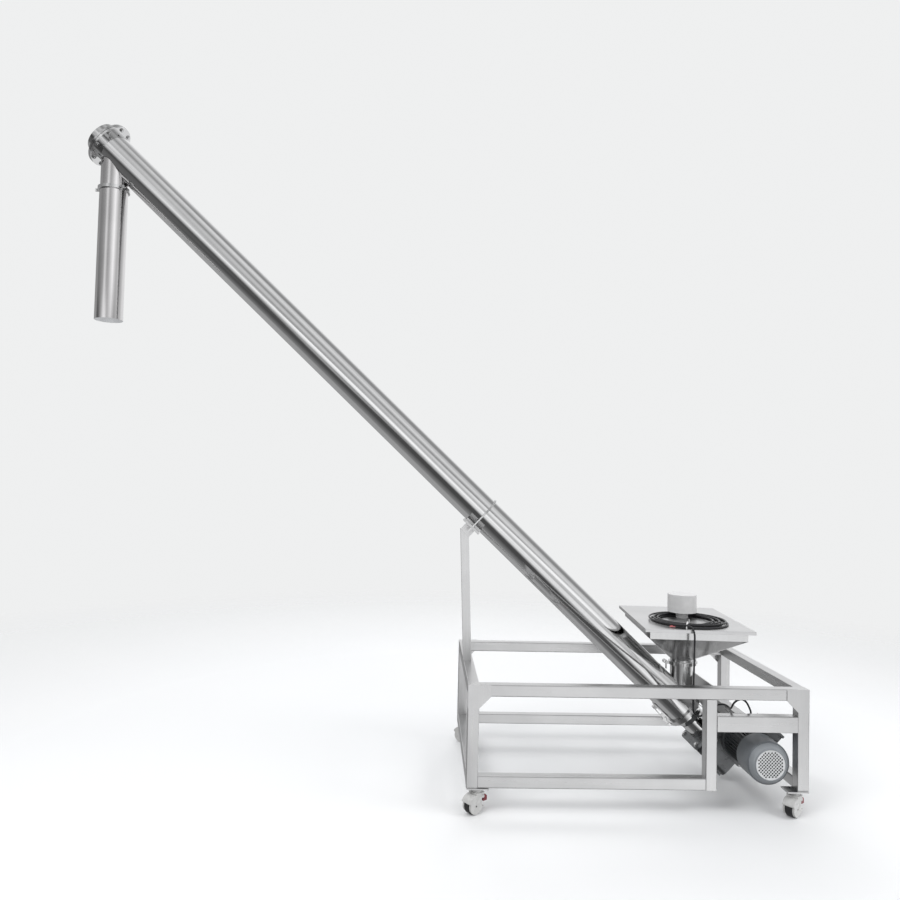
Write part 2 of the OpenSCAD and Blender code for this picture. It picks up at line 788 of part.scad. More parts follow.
// Rectangle with round corners, from one corner point to the other
module rounded_rect(x0, y0, x1, y1, r) {
    translate([x0 + r, y0]) square([x1 - x0 - 2 * r, y1 - y0]);
    translate([x0, y0 + r]) square([x1 - x0, y1 - y0 - 2 * r]);
    for (x = [x0 + r, x1 - r], y = [y0 + r, y1 - r]) translate([x, y]) circle(r = r);
}

// Motor housing with its cooling ribs and both end shields
module motor_body() {
    ribs = 36;
    core_r = motor_r - 10;
    bore_r = 58;
    color(black) drive() difference() {
        union() {
            translate([0, 0, motor_y]) cylinder(r = motor_r + 4, h = shield);
            translate([0, 0, rib_y - eps]) cylinder(r = core_r, h = motor_l + eps);
            for (i = [0:ribs - 1]) rotate([0, 0, i * 360 / ribs])
                translate([core_r - 3, -1.6, rib_y - eps]) cube([motor_r - core_r + 3, 3.2, motor_l - 8]);
            translate([0, 0, fan_y - 10]) cylinder(r = fan_cover_r - cover_wall - snug, h = 10);
            rotate([0, 0, box_turn]) translate([core_r - 6, -42, rib_y + 42])
                cube([motor_r - core_r + 8, 84, 96]);
        }
        translate([0, 0, motor_y - 1]) cylinder(r = rotor_r + run, h = shield + motor_l + 2);
        translate([0, 0, rib_y + 8]) cylinder(r = bore_r, h = motor_l - 22);
    }
}

// The terminal box points square to the screw
box_turn = 0;

module terminal_box() {
    base = motor_r + 2;
    color(paint) drive() rotate([0, 0, box_turn]) difference() {
        union() {
            translate([base, -50, rib_y + 38]) cube([46, 100, 104]);
            translate([base + 46 - eps, -54, rib_y + 34]) cube([12, 108, 112]);
        }
        translate([base - 1, -44, rib_y + 44]) cube([44, 88, 92]);
    }
}

// Cable gland on the terminal box's upper side
module cable_gland() {
    color(black) drive() translate([motor_r + 24, 50, rib_y + 110]) rotate([-90, 0, 0]) difference() {
        union() {
            cylinder(r = 11, h = 6, $fn = 6);
            cylinder(r = 8.5, h = 26);
            translate([0, 0, 12]) cylinder(r = 11.5, h = 12, $fn = 6);
        }
        translate([0, 0, -1]) cylinder(r = cord_r + snug, h = 20);
    }
}

// Fan cover: a cup over the motor's end with a domed face and a field of round holes
module fan_cover() {
    wall = cover_wall;
    field = 52;
    n = floor(field / vent_pitch);
    color(paint) drive() translate([0, 0, fan_y - 14]) difference() {
        union() {
            cylinder(r = fan_cover_r, h = fan_cover_l + 14);
            translate([0, 0, fan_cover_l + 14 - eps])
                cylinder(r1 = fan_cover_r - 3, r2 = grille_r + 14, h = dome - 6);
            translate([0, 0, fan_cover_l + 14 + dome - 6 - eps]) cylinder(r = grille_r, h = 6);
        }
        translate([0, 0, -1]) cylinder(r = fan_cover_r - wall, h = fan_cover_l + 14);
        translate([0, 0, fan_cover_l + 12]) cylinder(r1 = fan_cover_r - 8, r2 = grille_r + 8, h = dome - 6);
        translate([0, 0, fan_cover_l + 10]) cylinder(r = grille_r - 4, h = dome + 1);
        for (i = [-n:n], j = [-n:n])
            if (norm([i, j]) * vent_pitch < field) rotate([0, 0, 45])
                translate([i * vent_pitch, j * vent_pitch, fan_cover_l + 14]) cylinder(r = vent_r, h = 2 * dome, $fn = 16);
    }
}

module fan() {
    blades = 8;
    color(black) drive() translate([0, 0, fan_y + 16]) difference() {
        union() {
            cylinder(r = 20, h = 40);
            cylinder(r = 70, h = 3);
            for (i = [0:blades - 1]) rotate([0, 0, i * 360 / blades]) translate([16, -1.5, 0]) cube([58, 3, 38]);
        }
        translate([0, 0, -1]) cylinder(r = rotor_r - 2 + run, h = 42);
    }
}

// Motor shaft with the worm at its inner end
module rotor_shaft() {
    color(pale) drive() {
        translate([0, 0, -box_y + 20]) cylinder(r = rotor_r, h = box_y - 20 + fan_y + 8);
        translate([0, 0, -44]) cylinder(r = worm_r, h = 88);
        translate([0, 0, rib_y + 24]) cylinder(r = 52, h = motor_l - 54);
        translate([0, 0, fan_y + 8 - eps]) cylinder(r = rotor_r - 2, h = 50);
    }
}

// ---- Cord ----

// Points and directions along the route, with the gland's mouth as the last point
function gland_mouth() =
    let (n = centres + motor_r + 24, s = -gear_s + 50 + 26)
    [joint_x - s * cos(tilt) + n * sin(tilt), -(rib_y + 110), joint_z + s * sin(tilt) + n * cos(tilt)];
function gland_way() = [-cos(tilt), 0, sin(tilt)];
function route() = concat(cord_route, [gland_mouth() + 10 * gland_way() + [0, -1, 0], gland_mouth()]);
function unit(v) = v / norm(v);
function heading_at(p, i) =
    i == 0 ? unit(p[1] - p[0]) :
    i == len(p) - 1 ? unit(p[i] - p[i - 1]) : unit(unit(p[i + 1] - p[i]) + unit(p[i] - p[i - 1]));
function carried(u, d) = unit(u - (u * d) * d);
function sides_at(p, i, u) = i == len(p) ? [] :
    let (v = carried(u, heading_at(p, i))) concat([v], sides_at(p, i + 1, v));

module cord_tube(p, r, sides) {
    up = sides_at(p, 0, [0, 1, 0.3]);
    rings = [for (i = [0:len(p) - 1]) for (k = [0:sides - 1])
        let (a = 360 * k / sides, d = heading_at(p, i))
        p[i] + r * (cos(a) * up[i] + sin(a) * cross(d, up[i]))];
    walls = [for (i = [0:len(p) - 2]) for (k = [0:sides - 1])
        let (a = i * sides + k, b = i * sides + (k + 1) % sides) [a, a + sides, b + sides, b]];
    ends = [[for (k = [0:sides - 1]) k], [for (k = [sides - 1:-1:0]) (len(p) - 1) * sides + k]];
    polyhedron(rings, concat(walls, ends));
}

module power_cord() {
    color("black") placed() cord_tube(route(), cord_r, 10);
}

// Outer shape of the turns that lie on the lid
module cord_coil() {
    color("black") placed() translate([coil_x, coil_y, lid_z]) ring(coil_r, coil_in, coil_h);
}

// ---- Casters ----

// Moves a caster's piece from its own frame to a corner; back casters are mirrored
module at_corner(sx, sy) {
    x = sx > 0 ? frame_l - swivel_x : swivel_x;
    placed() mirror([0, sy > 0 ? 1 : 0, 0]) translate([x, -swivel_y, 0]) rotate([0, 0, heading]) children();
}

// Swivel head, hood over the wheel, two side shields and the axle
module caster(sx, sy) {
    w = half_fork + shield_t;
    color("white") at_corner(sx, sy) {
        for (side = [-1, 1]) translate([0, side * (w - cheek_t / 2), 0]) rotate([90, 0, 0])
            linear_extrude(cheek_t, center = true) {
                translate([pedal_x, pedal_z]) circle(r = 6.5);
                translate([pedal_x - 12, pedal_z - 5]) square([12, 10]);
            }
        translate([pedal_x, 0, pedal_z]) rotate([90, 0, 0]) cylinder(r = pedal_pin_r, h = 2 * w - 2, center = true);
        hood(w);
    }
}

module hood(w) {
    difference() {
        union() {
            translate([0, 0, head_z]) cylinder(r = head_r, h = head_h);
            translate([-trail, 0, axle_z]) rotate([90, 0, 0]) linear_extrude(2 * w, center = true) {
                circle(r = shield_r);
                intersection() {
                    circle(r = hood_r);
                    polygon([[-40, 16], [-30, 60], [60, 60], [60, -14], [0, 0]]);
                }
                polygon([[6, 10], [0, head_z - axle_z + 1], [trail + 20, head_z - axle_z + 1], [hood_r - 6, 10]]);
            }
        }
        translate([-trail, 0, axle_z]) rotate([90, 0, 0]) cylinder(r = hood_in, h = 2 * half_fork, center = true);
        translate([-trail - 80, -half_fork, -1]) cube([80, 2 * half_fork, axle_z + 16]);
        translate([-trail - 20, -half_fork, -1]) cube([120, 2 * half_fork, 24]);
        pedal_pocket();
        translate([0, 0, head_z - 2]) cylinder(r = kingpin_r + run, h = head_h + 10);
        translate([-trail, 0, axle_z]) rotate([90, 0, 0]) cylinder(r = axle_r + run, h = 100, center = true);
    }
}

// Room for the pedal and its travel, cut through the hood's upper rear part
module pedal_pocket() {
    translate([pedal_x - 8, -half_fork - shield_t - 1, pedal_z - 40])
        cube([60, 2 * (half_fork + shield_t + 1), 48]);
}

// Tyre, hub and axle in one piece; the axle runs in the housing's side shields
module wheel(sx, sy) {
    hub_r = 13;
    axle_l = half_fork + shield_t - 1;
    color(black) at_corner(sx, sy) translate([-trail, 0, axle_z]) rotate([90, 0, 0])
        rotate_extrude($fn = 72) polygon([
            [0, -axle_l], [axle_r, -axle_l], [axle_r, -wheel_w / 2], [hub_r, -wheel_w / 2], [hub_r, -wheel_w / 2 + 4],
            [axle_z - 9, -wheel_w / 2 + 4], [axle_z - 9, -wheel_w / 2], [axle_z - 3, -wheel_w / 2],
            [axle_z, -wheel_w / 2 + 4], [axle_z, wheel_w / 2 - 4], [axle_z - 3, wheel_w / 2],
            [axle_z - 9, wheel_w / 2], [axle_z - 9, wheel_w / 2 - 4], [hub_r, wheel_w / 2 - 4],
            [hub_r, wheel_w / 2], [axle_r, wheel_w / 2], [axle_r, axle_l], [0, axle_l]
        ]);
}

module pedal(sx, sy) {
    color("firebrick") at_corner(sx, sy) translate([pedal_x, 0, pedal_z]) rotate([90, 0, 0]) difference() {
        linear_extrude(2 * (half_fork + shield_t - cheek_t - gap), center = true) {
            circle(r = 6);
            polygon([[-2, 5], [14, 6], [24, -2], [24, -22], [3, -22], [-1, -5]]);
        }
        cylinder(r = pedal_pin_r + run, h = 100, center = true);
    }
}

leg(-1, -1);  // leg_fl
leg(1, -1);  // leg_fr
leg(-1, 1);  // leg_bl
leg(1, 1);  // leg_br
top_rail_front();
top_rail_back();
top_rail_left();
top_rail_right();
bottom_rail_front();
bottom_rail_back();
bottom_rail_left();
bottom_rail_right();
mid_post();
bay_rail();
back_post();
drive_beam();
drive_plate();
support_post();
saddle();
u_bolt();
casing();
end_cover();
flange_bolts();
spout_pipe();
spout_clamp();
spout_sleeve();
inlet_neck();
neck_clamp();
hopper();
hopper_lid();
white_cap();
clamp_ring();
bottom_cover();
lantern();
latches();
auger_shaft();
auger_flight();
output_sleeve();
gearbox();
motor_body();
terminal_box();
fan_cover();
fan();
rotor_shaft();
cable_gland();
power_cord();
cord_coil();
caster(-1, -1);  // caster_fl
caster(1, -1);  // caster_fr
caster(-1, 1);  // caster_bl
caster(1, 1);  // caster_br
wheel(-1, -1);  // wheel_fl
wheel(1, -1);  // wheel_fr
wheel(-1, 1);  // wheel_bl
wheel(1, 1);  // wheel_br
pedal(-1, -1);  // pedal_fl
pedal(1, -1);  // pedal_fr
pedal(-1, 1);  // pedal_bl
pedal(1, 1);  // pedal_br
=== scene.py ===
"""Dresses the inclined screw conveyor: frame, casters, casing, spout, hopper, drive and cable."""

from __future__ import annotations

import json
import logging
import math
from dataclasses import dataclass, field
from enum import Enum

import bmesh
import bpy
import numpy as np
from mathutils import Matrix, Vector

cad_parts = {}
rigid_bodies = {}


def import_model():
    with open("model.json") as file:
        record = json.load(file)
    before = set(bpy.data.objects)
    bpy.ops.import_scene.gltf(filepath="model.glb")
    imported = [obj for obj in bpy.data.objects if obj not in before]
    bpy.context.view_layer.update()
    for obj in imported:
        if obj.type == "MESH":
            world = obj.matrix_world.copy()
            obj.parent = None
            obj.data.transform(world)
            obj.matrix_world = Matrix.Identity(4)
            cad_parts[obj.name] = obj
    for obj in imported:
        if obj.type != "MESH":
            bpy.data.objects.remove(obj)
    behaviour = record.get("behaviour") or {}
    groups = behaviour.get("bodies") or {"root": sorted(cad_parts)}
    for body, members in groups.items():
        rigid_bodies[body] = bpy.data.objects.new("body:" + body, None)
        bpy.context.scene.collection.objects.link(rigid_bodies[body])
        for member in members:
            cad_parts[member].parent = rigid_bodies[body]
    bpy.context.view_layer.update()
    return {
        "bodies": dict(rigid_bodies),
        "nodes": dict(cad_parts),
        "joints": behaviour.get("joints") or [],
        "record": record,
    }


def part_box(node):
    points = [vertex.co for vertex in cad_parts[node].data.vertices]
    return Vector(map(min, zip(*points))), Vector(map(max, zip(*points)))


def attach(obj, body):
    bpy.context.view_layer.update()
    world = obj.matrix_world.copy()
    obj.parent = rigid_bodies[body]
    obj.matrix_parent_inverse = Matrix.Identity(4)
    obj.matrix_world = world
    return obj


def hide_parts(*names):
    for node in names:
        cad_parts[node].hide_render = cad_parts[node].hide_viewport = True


log = logging.getLogger("conveyor")

MM = 0.001
ROOT = "machine"
TILT = math.radians(43.1)
MID_X = -208.942
JOINT = (1099.0, 323.0)
GEAR_S = 245.0
CENTRES = 85.0
CORNERS = ("fl", "fr", "bl", "br")

Socket = bpy.types.NodeSocket
Material = bpy.types.Material
Triple = tuple[float, float, float]


# ---------------------------------------------------------------- places

def at(x: float, y: float, z: float) -> Vector:
    """A point given from the frame's left end, in millimetres.

    Args:
        x: Distance from the frame's left end.
        y: Distance from the middle, the front being negative.
        z: Height over the floor.

    Returns:
        The point in the row frame, in metres.
    """
    return Vector(((x - MID_X) * MM, y * MM, z * MM))


def inclined(s: float = 0.0) -> Matrix:
    """The screw's own frame: Z up along it, X square to it, at a distance s from the casing's end.

    Args:
        s: Distance along the screw, in millimetres.

    Returns:
        The matrix from that frame to the row frame.
    """
    c, k = math.cos(TILT), math.sin(TILT)
    turn = Matrix(((k, 0, -c), (0, 1, 0), (c, 0, k))).to_4x4()
    return Matrix.Translation(at(JOINT[0], 0, JOINT[1])) @ turn @ Matrix.Translation((0, 0, s * MM))


def drive() -> Matrix:
    """The motor's own frame: Z towards the front, X square to the screw, Y up along it.

    Returns:
        The matrix from that frame to the row frame.
    """
    return inclined(-GEAR_S) @ Matrix.Translation((CENTRES * MM, 0, 0)) @ Matrix.Rotation(math.pi / 2, 4, "X")


def upright(x: float, y: float, z: float) -> Matrix:
    """A frame with Z up at a point given in millimetres from the frame's left end."""
    return Matrix.Translation(at(x, y, z))


# ---------------------------------------------------------------- finishes

class NodeTree:
    """Short writing for the nodes of a tree."""

    def __init__(self, tree: bpy.types.NodeTree) -> None:
        """Keeps the tree.

        Args:
            tree: The tree to write.
        """
        self.tree = tree

    def add(self, kind: str, links: dict[str | int, Socket] | None = None,
            values: dict[str | int, object] | None = None, **props: object) -> bpy.types.Node:
        """Adds a node, its properties, its links and its values.

        Args:
            kind: The node's type name.
            links: Sockets to join, by input.
            values: Values to set, by input.
            **props: Properties to set first.

        Returns:
            The new node.
        """
        made = self.tree.nodes.new(kind)
        for key, value in props.items():
            setattr(made, key, value)
        for key, socket in (links or {}).items():
            self.tree.links.new(socket, made.inputs[key])
        for key, value in (values or {}).items():
            made.inputs[key].default_value = value
        return made

    def of_terms(self, kind: str, terms: tuple[object, ...], **props: object) -> Socket:
        """A node whose inputs are, in order, sockets or numbers.

        Args:
            kind: The node's type name.
            terms: The sockets or numbers.
            **props: Properties to set first.

        Returns:
            The result's socket.
        """
        sockets = {i: term for i, term in enumerate(terms) if isinstance(term, Socket)}
        numbers = {i: term for i, term in enumerate(terms) if i not in sockets}
        return self.add(kind, sockets, numbers, **props).outputs[0]

    def math(self, operation: str, *terms: object) -> Socket:
        """A math node on sockets or numbers."""
        return self.of_terms("ShaderNodeMath", terms, operation=operation)

    def spread(self, value: Socket, low: float, high: float, start: float = 0.3, stop: float = 0.7,
               kind: str = "LINEAR") -> Socket:
        """Maps a value from one range to another.

        Args:
            value: The incoming value.
            low: Result at the range's start.
            high: Result at the range's end.
            start: Start of the incoming range.
            stop: End of the incoming range.
            kind: The interpolation.

        Returns:
            The mapped value socket.
        """
        return self.add("ShaderNodeMapRange", {"Value": value},
                        {"From Min": start, "From Max": stop, "To Min": low, "To Max": high},
                        interpolation_type=kind).outputs[0]

    def ramp(self, value: Socket, stops: list[tuple[float, Triple]]) -> Socket:
        """Colours a value.

        Args:
            value: The incoming value.
            stops: Positions and colours.

        Returns:
            The colour socket.
        """
        made = self.add("ShaderNodeValToRGB", {0: value})
        elements = made.color_ramp.elements
        while len(elements) < len(stops):
            elements.new(0.5)
        for element, (pos, colour) in zip(elements, stops):
            element.position = pos
            element.color = (*colour, 1)
        return made.outputs[0]


class Shader(NodeTree):
    """Small writer for node materials on object coordinates."""

    def __init__(self, name: str) -> None:
        """Starts a material with one Principled shader.

        Args:
            name: The material's name.
        """
        self.mat = bpy.data.materials.new(name)
        self.mat.use_nodes = True
        super().__init__(self.mat.node_tree)
        self.tree.nodes.clear()
        self.out = self.add("ShaderNodeOutputMaterial")
        self.bsdf = self.add("ShaderNodeBsdfPrincipled")
        self.tree.links.new(self.bsdf.outputs[0], self.out.inputs[0])
        self.place = self.add("ShaderNodeTexCoord").outputs["Object"]

    def put(self, **given: object) -> None:
        """Sets the shader's inputs.

        Args:
            **given: Sockets or values by input name, spaces written as underscores.
        """
        for name, value in given.items():
            target = self.bsdf.inputs[name.replace("_", " ")]
            if isinstance(value, Socket):
                self.tree.links.new(value, target)
            else:
                target.default_value = value

    def mapped(self, scale: Triple, turn: float = 0.0) -> Socket:
        """Object coordinates stretched per axis and turned about Y.

        Args:
            scale: Scale along the turned axes.
            turn: Angle about Y that the pattern is turned by.

        Returns:
            The vector socket.
        """
        first = self.add("ShaderNodeMapping", {"Vector": self.place}, {"Rotation": (0, turn, 0)})
        return self.add("ShaderNodeMapping", {"Vector": first.outputs[0]}, {"Scale": scale}).outputs[0]

    def noise(self, vector: Socket, scale: float, detail: float = 3.0, rough: float = 0.55) -> Socket:
        """A noise texture's value on a vector.

        Args:
            vector: Where the noise is read.
            scale: Its scale.
            detail: Its detail.
            rough: Its roughness.

        Returns:
            The noise's value socket.
        """
        return self.add("ShaderNodeTexNoise", {"Vector": vector},
                        {"Scale": scale, "Detail": detail, "Roughness": rough}).outputs["Fac"]

    def bump(self, height: Socket, strength: float, depth: float) -> None:
        """Adds a bump to the shader's normal.

        Args:
            height: The height socket.
            strength: Strength of the bump.
            depth: Depth in metres.
        """
        made = self.add("ShaderNodeBump", {"Height": height}, {"Strength": strength, "Distance": depth})
        self.put(Normal=made.outputs[0])


GRAIN_DEPTH = 0.00005
PEEL_DEPTH = 0.0006
MOULD_DEPTH = 0.0003


class Grain(Enum):
    """Direction that a brushed surface was ground in."""

    ALONG_X = ((1.5, 60.0, 60.0), 0.0)
    ALONG_Y = ((60.0, 1.5, 60.0), 0.0)
    ALONG_Z = ((60.0, 60.0, 1.5), 0.0)
    ALONG_SCREW = ((60.0, 60.0, 1.2), -(math.pi / 2 - TILT))
    ROUND_SCREW = ((30.0, 30.0, 90.0), -(math.pi / 2 - TILT))
    EVEN = ((25.0, 25.0, 25.0), 0.0)


@dataclass(frozen=True)
class Steel:
    """Ground or polished stainless steel."""

    name: str
    light: float = 0.80
    dark: float = 0.62
    rough: tuple[float, float] = (0.22, 0.34)
    grain: Grain = Grain.EVEN
    bump: float = 0.05
    tint: Triple = (1.0, 1.0, 1.0)
    # Painted light: strength of an emitted glow that stands in for bounce light; it is no lamp.
    painted_glow: float = 0.0

    def make(self) -> Material:
        """Builds the material: clouded colour, brushed lines in the roughness, a fine bump, and where asked a glow,
        which is painted light that no lamp gives.

        Returns:
            The material.
        """
        s = Shader(self.name)
        scale, turn = self.grain.value
        lines = s.noise(s.mapped(scale, turn), 1.0, 6.0, 0.65)
        fine = s.noise(s.mapped(tuple(v * 9 for v in scale), turn), 1.0, 2.0)
        clouds = s.noise(s.place, 5.0, 3.0)
        both = s.math("MULTIPLY_ADD", clouds, 0.5, s.math("MULTIPLY", lines, 0.5))
        pale, deep = (tuple(level * t for t in self.tint) for level in (self.light, self.dark))
        # The emission is painted light: a glow standing in for bounce light.
        s.put(Base_Color=s.ramp(both, [(0.32, deep), (0.62, pale)]), Metallic=1.0,
              Emission_Color=(0.95, 0.97, 1.0, 1), Emission_Strength=self.painted_glow,
              Roughness=s.spread(lines, *self.rough))
        s.bump(fine, self.bump, GRAIN_DEPTH)
        return s.mat


@dataclass(frozen=True)
class Paint:
    """Sprayed paint over a casting or a pressing."""

    name: str
    colour: Triple
    worn: Triple
    rough: tuple[float, float] = (0.30, 0.45)
    peel: float = 0.08
    metallic: float = 0.0
    grit: float = 420.0

    def make(self) -> Material:
        """Builds the material: slight shifts of colour, orange peel and uneven gloss.

        Returns:
            The material.
        """
        s = Shader(self.name)
        clouds = s.noise(s.place, 14.0, 4.0)
        s.put(Base_Color=s.ramp(clouds, [(0.35, self.worn), (0.6, self.colour)]), Metallic=self.metallic,
              Roughness=s.spread(clouds, *self.rough))
        s.bump(s.noise(s.place, self.grit, 2.0), self.peel, PEEL_DEPTH)
        return s.mat


@dataclass(frozen=True)
class Moulded:
    """Moulded plastic or rubber."""

    name: str
    colour: Triple
    rough: tuple[float, float] = (0.35, 0.5)
    grit: float = 900.0
    relief: float = 0.06
    coat: float = 0.0

    def make(self) -> Material:
        """Builds the material: a speck of dust in the colour and a fine moulded texture.

        Returns:
            The material.
        """
        s = Shader(self.name)
        dust = s.noise(s.place, 40.0, 5.0)
        light = tuple(min(1.0, c * 1.08 + 0.012) for c in self.colour)
        s.put(Base_Color=s.ramp(dust, [(0.4, self.colour), (0.75, light)]),
              Roughness=s.spread(dust, *self.rough), Coat_Weight=self.coat)
        s.bump(s.noise(s.place, self.grit, 2.0), self.relief, MOULD_DEPTH)
        return s.mat


def made(finish: Steel | Paint | Moulded) -> Material:
    """A dataclass field that makes its material when the set of finishes is made."""
    return field(default_factory=finish.make)


@dataclass(frozen=True)
class Finishes:
    """Every finish on the machine, made once."""

    frame_x: Material = made(Steel("frame_brushed_x", 0.60, 0.50, (0.24, 0.38), Grain.ALONG_X, 0.08))
    frame_y: Material = made(Steel("frame_brushed_y", 0.58, 0.47, (0.24, 0.38), Grain.ALONG_Y, 0.08))
    frame_z: Material = made(Steel("frame_brushed_z", 0.60, 0.50, (0.24, 0.38), Grain.ALONG_Z, 0.08))
    corner: Material = made(Steel("corner_ground", 0.58, 0.50, (0.34, 0.44), Grain.EVEN, 0.06))
    casing: Material = made(Steel("casing_polished", 0.63, 0.58, (0.07, 0.12), Grain.ALONG_SCREW, 0.04))
    flange: Material = made(Steel("flange_turned", 0.54, 0.40, (0.08, 0.14), Grain.ROUND_SCREW, 0.05))
    spout: Material = made(Steel("spout_polished", 0.62, 0.54, (0.09, 0.17), Grain.ALONG_Z, 0.04,
                                 (1.0, 0.985, 0.985)))
    sheet: Material = made(Steel("hopper_brushed", 0.58, 0.52, (0.15, 0.22), Grain.ALONG_Z, 0.04))
    lid: Material = made(Steel("lid_brushed", 0.64, 0.54, (0.30, 0.40), Grain.ALONG_X, 0.05))
    fitting: Material = made(Steel("clamp_polished", 0.60, 0.44, (0.12, 0.22), Grain.EVEN, 0.06))
    bolt: Material = made(Steel("bolt_bright", 0.60, 0.42, (0.18, 0.30), Grain.EVEN, 0.10))
    screw: Material = made(Steel("screw_ground", 0.72, 0.50, (0.25, 0.40), Grain.ROUND_SCREW, 0.08))
    cover: Material = made(Paint("fan_cover_paint", (0.175, 0.19, 0.205), (0.145, 0.157, 0.17)))
    dome: Material = made(Paint("dome_paint", (0.30, 0.32, 0.34), (0.26, 0.278, 0.295)))
    grille: Material = made(Paint("grille_paint", (0.74, 0.75, 0.76), (0.66, 0.67, 0.68)))
    ribbed: Material = made(Paint("ribbed_dark_paint", (0.075, 0.08, 0.085), (0.045, 0.047, 0.05),
                                  (0.25, 0.4), 0.08, 0.4))
    cast: Material = made(Paint("gearbox_paint", (0.135, 0.14, 0.145), (0.08, 0.083, 0.086),
                                (0.22, 0.4), 0.14, 0.5))
    black: Material = made(Moulded("gland_black", (0.018, 0.018, 0.02)))
    white: Material = made(Moulded("cap_white", (0.60, 0.60, 0.60), (0.36, 0.48), 700.0, 0.03, 0.1))
    sheath: Material = made(Moulded("cable_sheath", (0.012, 0.012, 0.014), (0.28, 0.42), 1500.0, 0.04))
    hood: Material = made(Moulded("caster_white", (0.55, 0.55, 0.54), (0.22, 0.34), 800.0, 0.03, 0.3))
    tread: Material = made(Moulded("tyre_black", (0.015, 0.015, 0.016), (0.5, 0.68), 600.0, 0.15))
    pedal: Material = made(Moulded("pedal_red", (0.19, 0.006, 0.016), (0.28, 0.4), 900.0, 0.04, 0.2))
    wire: Material = made(Moulded("wire_red", (0.62, 0.16, 0.17), (0.3, 0.4)))
    tie: Material = made(Moulded("tie_white", (0.82, 0.82, 0.82), (0.3, 0.4)))
    # Painted bounce light: the spout's inner wall glows to stand in for the light the floor would throw up into it.
    inside: Material = made(Steel("spout_inside_painted_glow", 0.62, 0.54, (0.40, 0.50), Grain.ALONG_Z, 0.04, painted_glow=0.20))


# ---------------------------------------------------------------- mesh making

def flatten(obj: bpy.types.Object) -> None:
    """Keeps the shading of large flat faces even, right up to their broken edges.

    Args:
        obj: The object, whose mesh is replaced by one with weighted normals.
    """
    mod = obj.modifiers.new("Weigh", "WEIGHTED_NORMAL")
    mod.keep_sharp = True
    bpy.context.view_layer.update()
    weighed = bpy.data.meshes.new_from_object(obj.evaluated_get(bpy.context.evaluated_depsgraph_get()))
    obj.modifiers.remove(mod)
    old = obj.data
    obj.data = weighed
    bpy.data.meshes.remove(old)
    weighed.name = obj.name


def show(name: str, bm: bmesh.types.BMesh, mat: Material, body: str = ROOT,
         stands_for: tuple[str, ...] = (), sharp: float = 35.0, flat: bool = False) -> bpy.types.Object:
    """Turns a bmesh into a smooth-shaded piece that rides on a body.

    Args:
        name: The piece's name.
        bm: Its shape, in the row frame and in metres; it is freed.
        mat: Its material.
        body: The body it rides on.
        stands_for: CAD nodes that it replaces.
        sharp: Edges over this angle stay sharp.
        flat: Whether its large flat faces are shaded evenly.

    Returns:
        The new object.
    """
    mesh = bpy.data.meshes.new(name)
    bm.to_mesh(mesh)
    bm.free()
    if "custom_normal" in mesh.attributes:
        mesh.attributes.remove(mesh.attributes["custom_normal"])
    mesh.polygons.foreach_set("use_smooth", [True] * len(mesh.polygons))
    mesh.set_sharp_from_angle(angle=math.radians(sharp))
    mesh.materials.append(mat)
    obj = bpy.data.objects.new(name, mesh)
    bpy.context.scene.collection.objects.link(obj)
    if flat:
        flatten(obj)
    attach(obj, body)
    if stands_for:
        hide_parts(*stands_for)
    return obj


def node_copy(frame: dict, node: str, dissolve: bool = False) -> bmesh.types.BMesh:
    """A merged copy of a CAD node's mesh.

    Args:
        node: The node's name.
        dissolve: Whether flat areas become single faces.

    Returns:
        The copy.
    """
    bm = bmesh.new()
    bm.from_mesh(frame["nodes"][node].data)
    bmesh.ops.remove_doubles(bm, verts=bm.verts, dist=2e-6)
    if dissolve:
        bmesh.ops.dissolve_limit(bm, angle_limit=math.radians(0.6), verts=bm.verts, edges=bm.edges)
    return bm


def dress(frame: dict, node: str, mat: Material, body: str = ROOT, bevel: float = 0.0,
          sharp: float = 32.0) -> bpy.types.Object:
    """Shows a CAD node's shape with smooth curves, and with broken edges where asked.

    Args:
        node: The node's name.
        mat: Its material.
        body: The body that the node rides on.
        bevel: Width of the broken edges, in millimetres.
        sharp: Edges over this angle stay sharp.

    Returns:
        The new object, which replaces the node.
    """
    bm = node_copy(frame, node, dissolve=bevel > 0)
    if bevel > 0:
        edges = [e for e in bm.edges if len(e.link_faces) == 2 and e.calc_face_angle(0) > math.radians(40)]
        bmesh.ops.bevel(bm, geom=edges, offset=bevel * MM, segments=2, profile=0.6, affect="EDGES",
                        clamp_overlap=True, miter_outer="ARC")
    return show(f"{node}_shell", bm, mat, body, (node,), sharp, flat=bevel > 0)


def rounded_tube(frame: dict, node: str, axis: int, mat: Material, radius: float = 4.5) -> bpy.types.Object:
    """Shows a square tube with the rounded long edges that such stock has.

    Args:
        node: The node's name.
        axis: The tube's axis, 0 to 2.
        mat: Its material.
        radius: Radius of the long edges, in millimetres.

    Returns:
        The new object, which replaces the node.
    """
    low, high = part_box(node)
    across = [i for i in range(3) if i != axis]
    bm = node_copy(frame, node, dissolve=True)

    def outer(e: bmesh.types.BMEdge) -> bool:
        """Whether an edge is one of the tube's four long outer edges."""
        a, b = e.verts[0].co, e.verts[1].co
        way = (b - a).normalized()
        if abs(way[axis]) < 0.99 or (b - a).length < 0.02:
            return False
        return all(min(abs(a[i] - low[i]), abs(a[i] - high[i])) < 1e-4 for i in across)

    edges = [e for e in bm.edges if outer(e)]
    bmesh.ops.bevel(bm, geom=edges, offset=radius * MM, segments=5, profile=0.5, affect="EDGES",
                    clamp_overlap=True)
    return show(f"{node}_tube", bm, mat, ROOT, (node,), 50.0, flat=True)


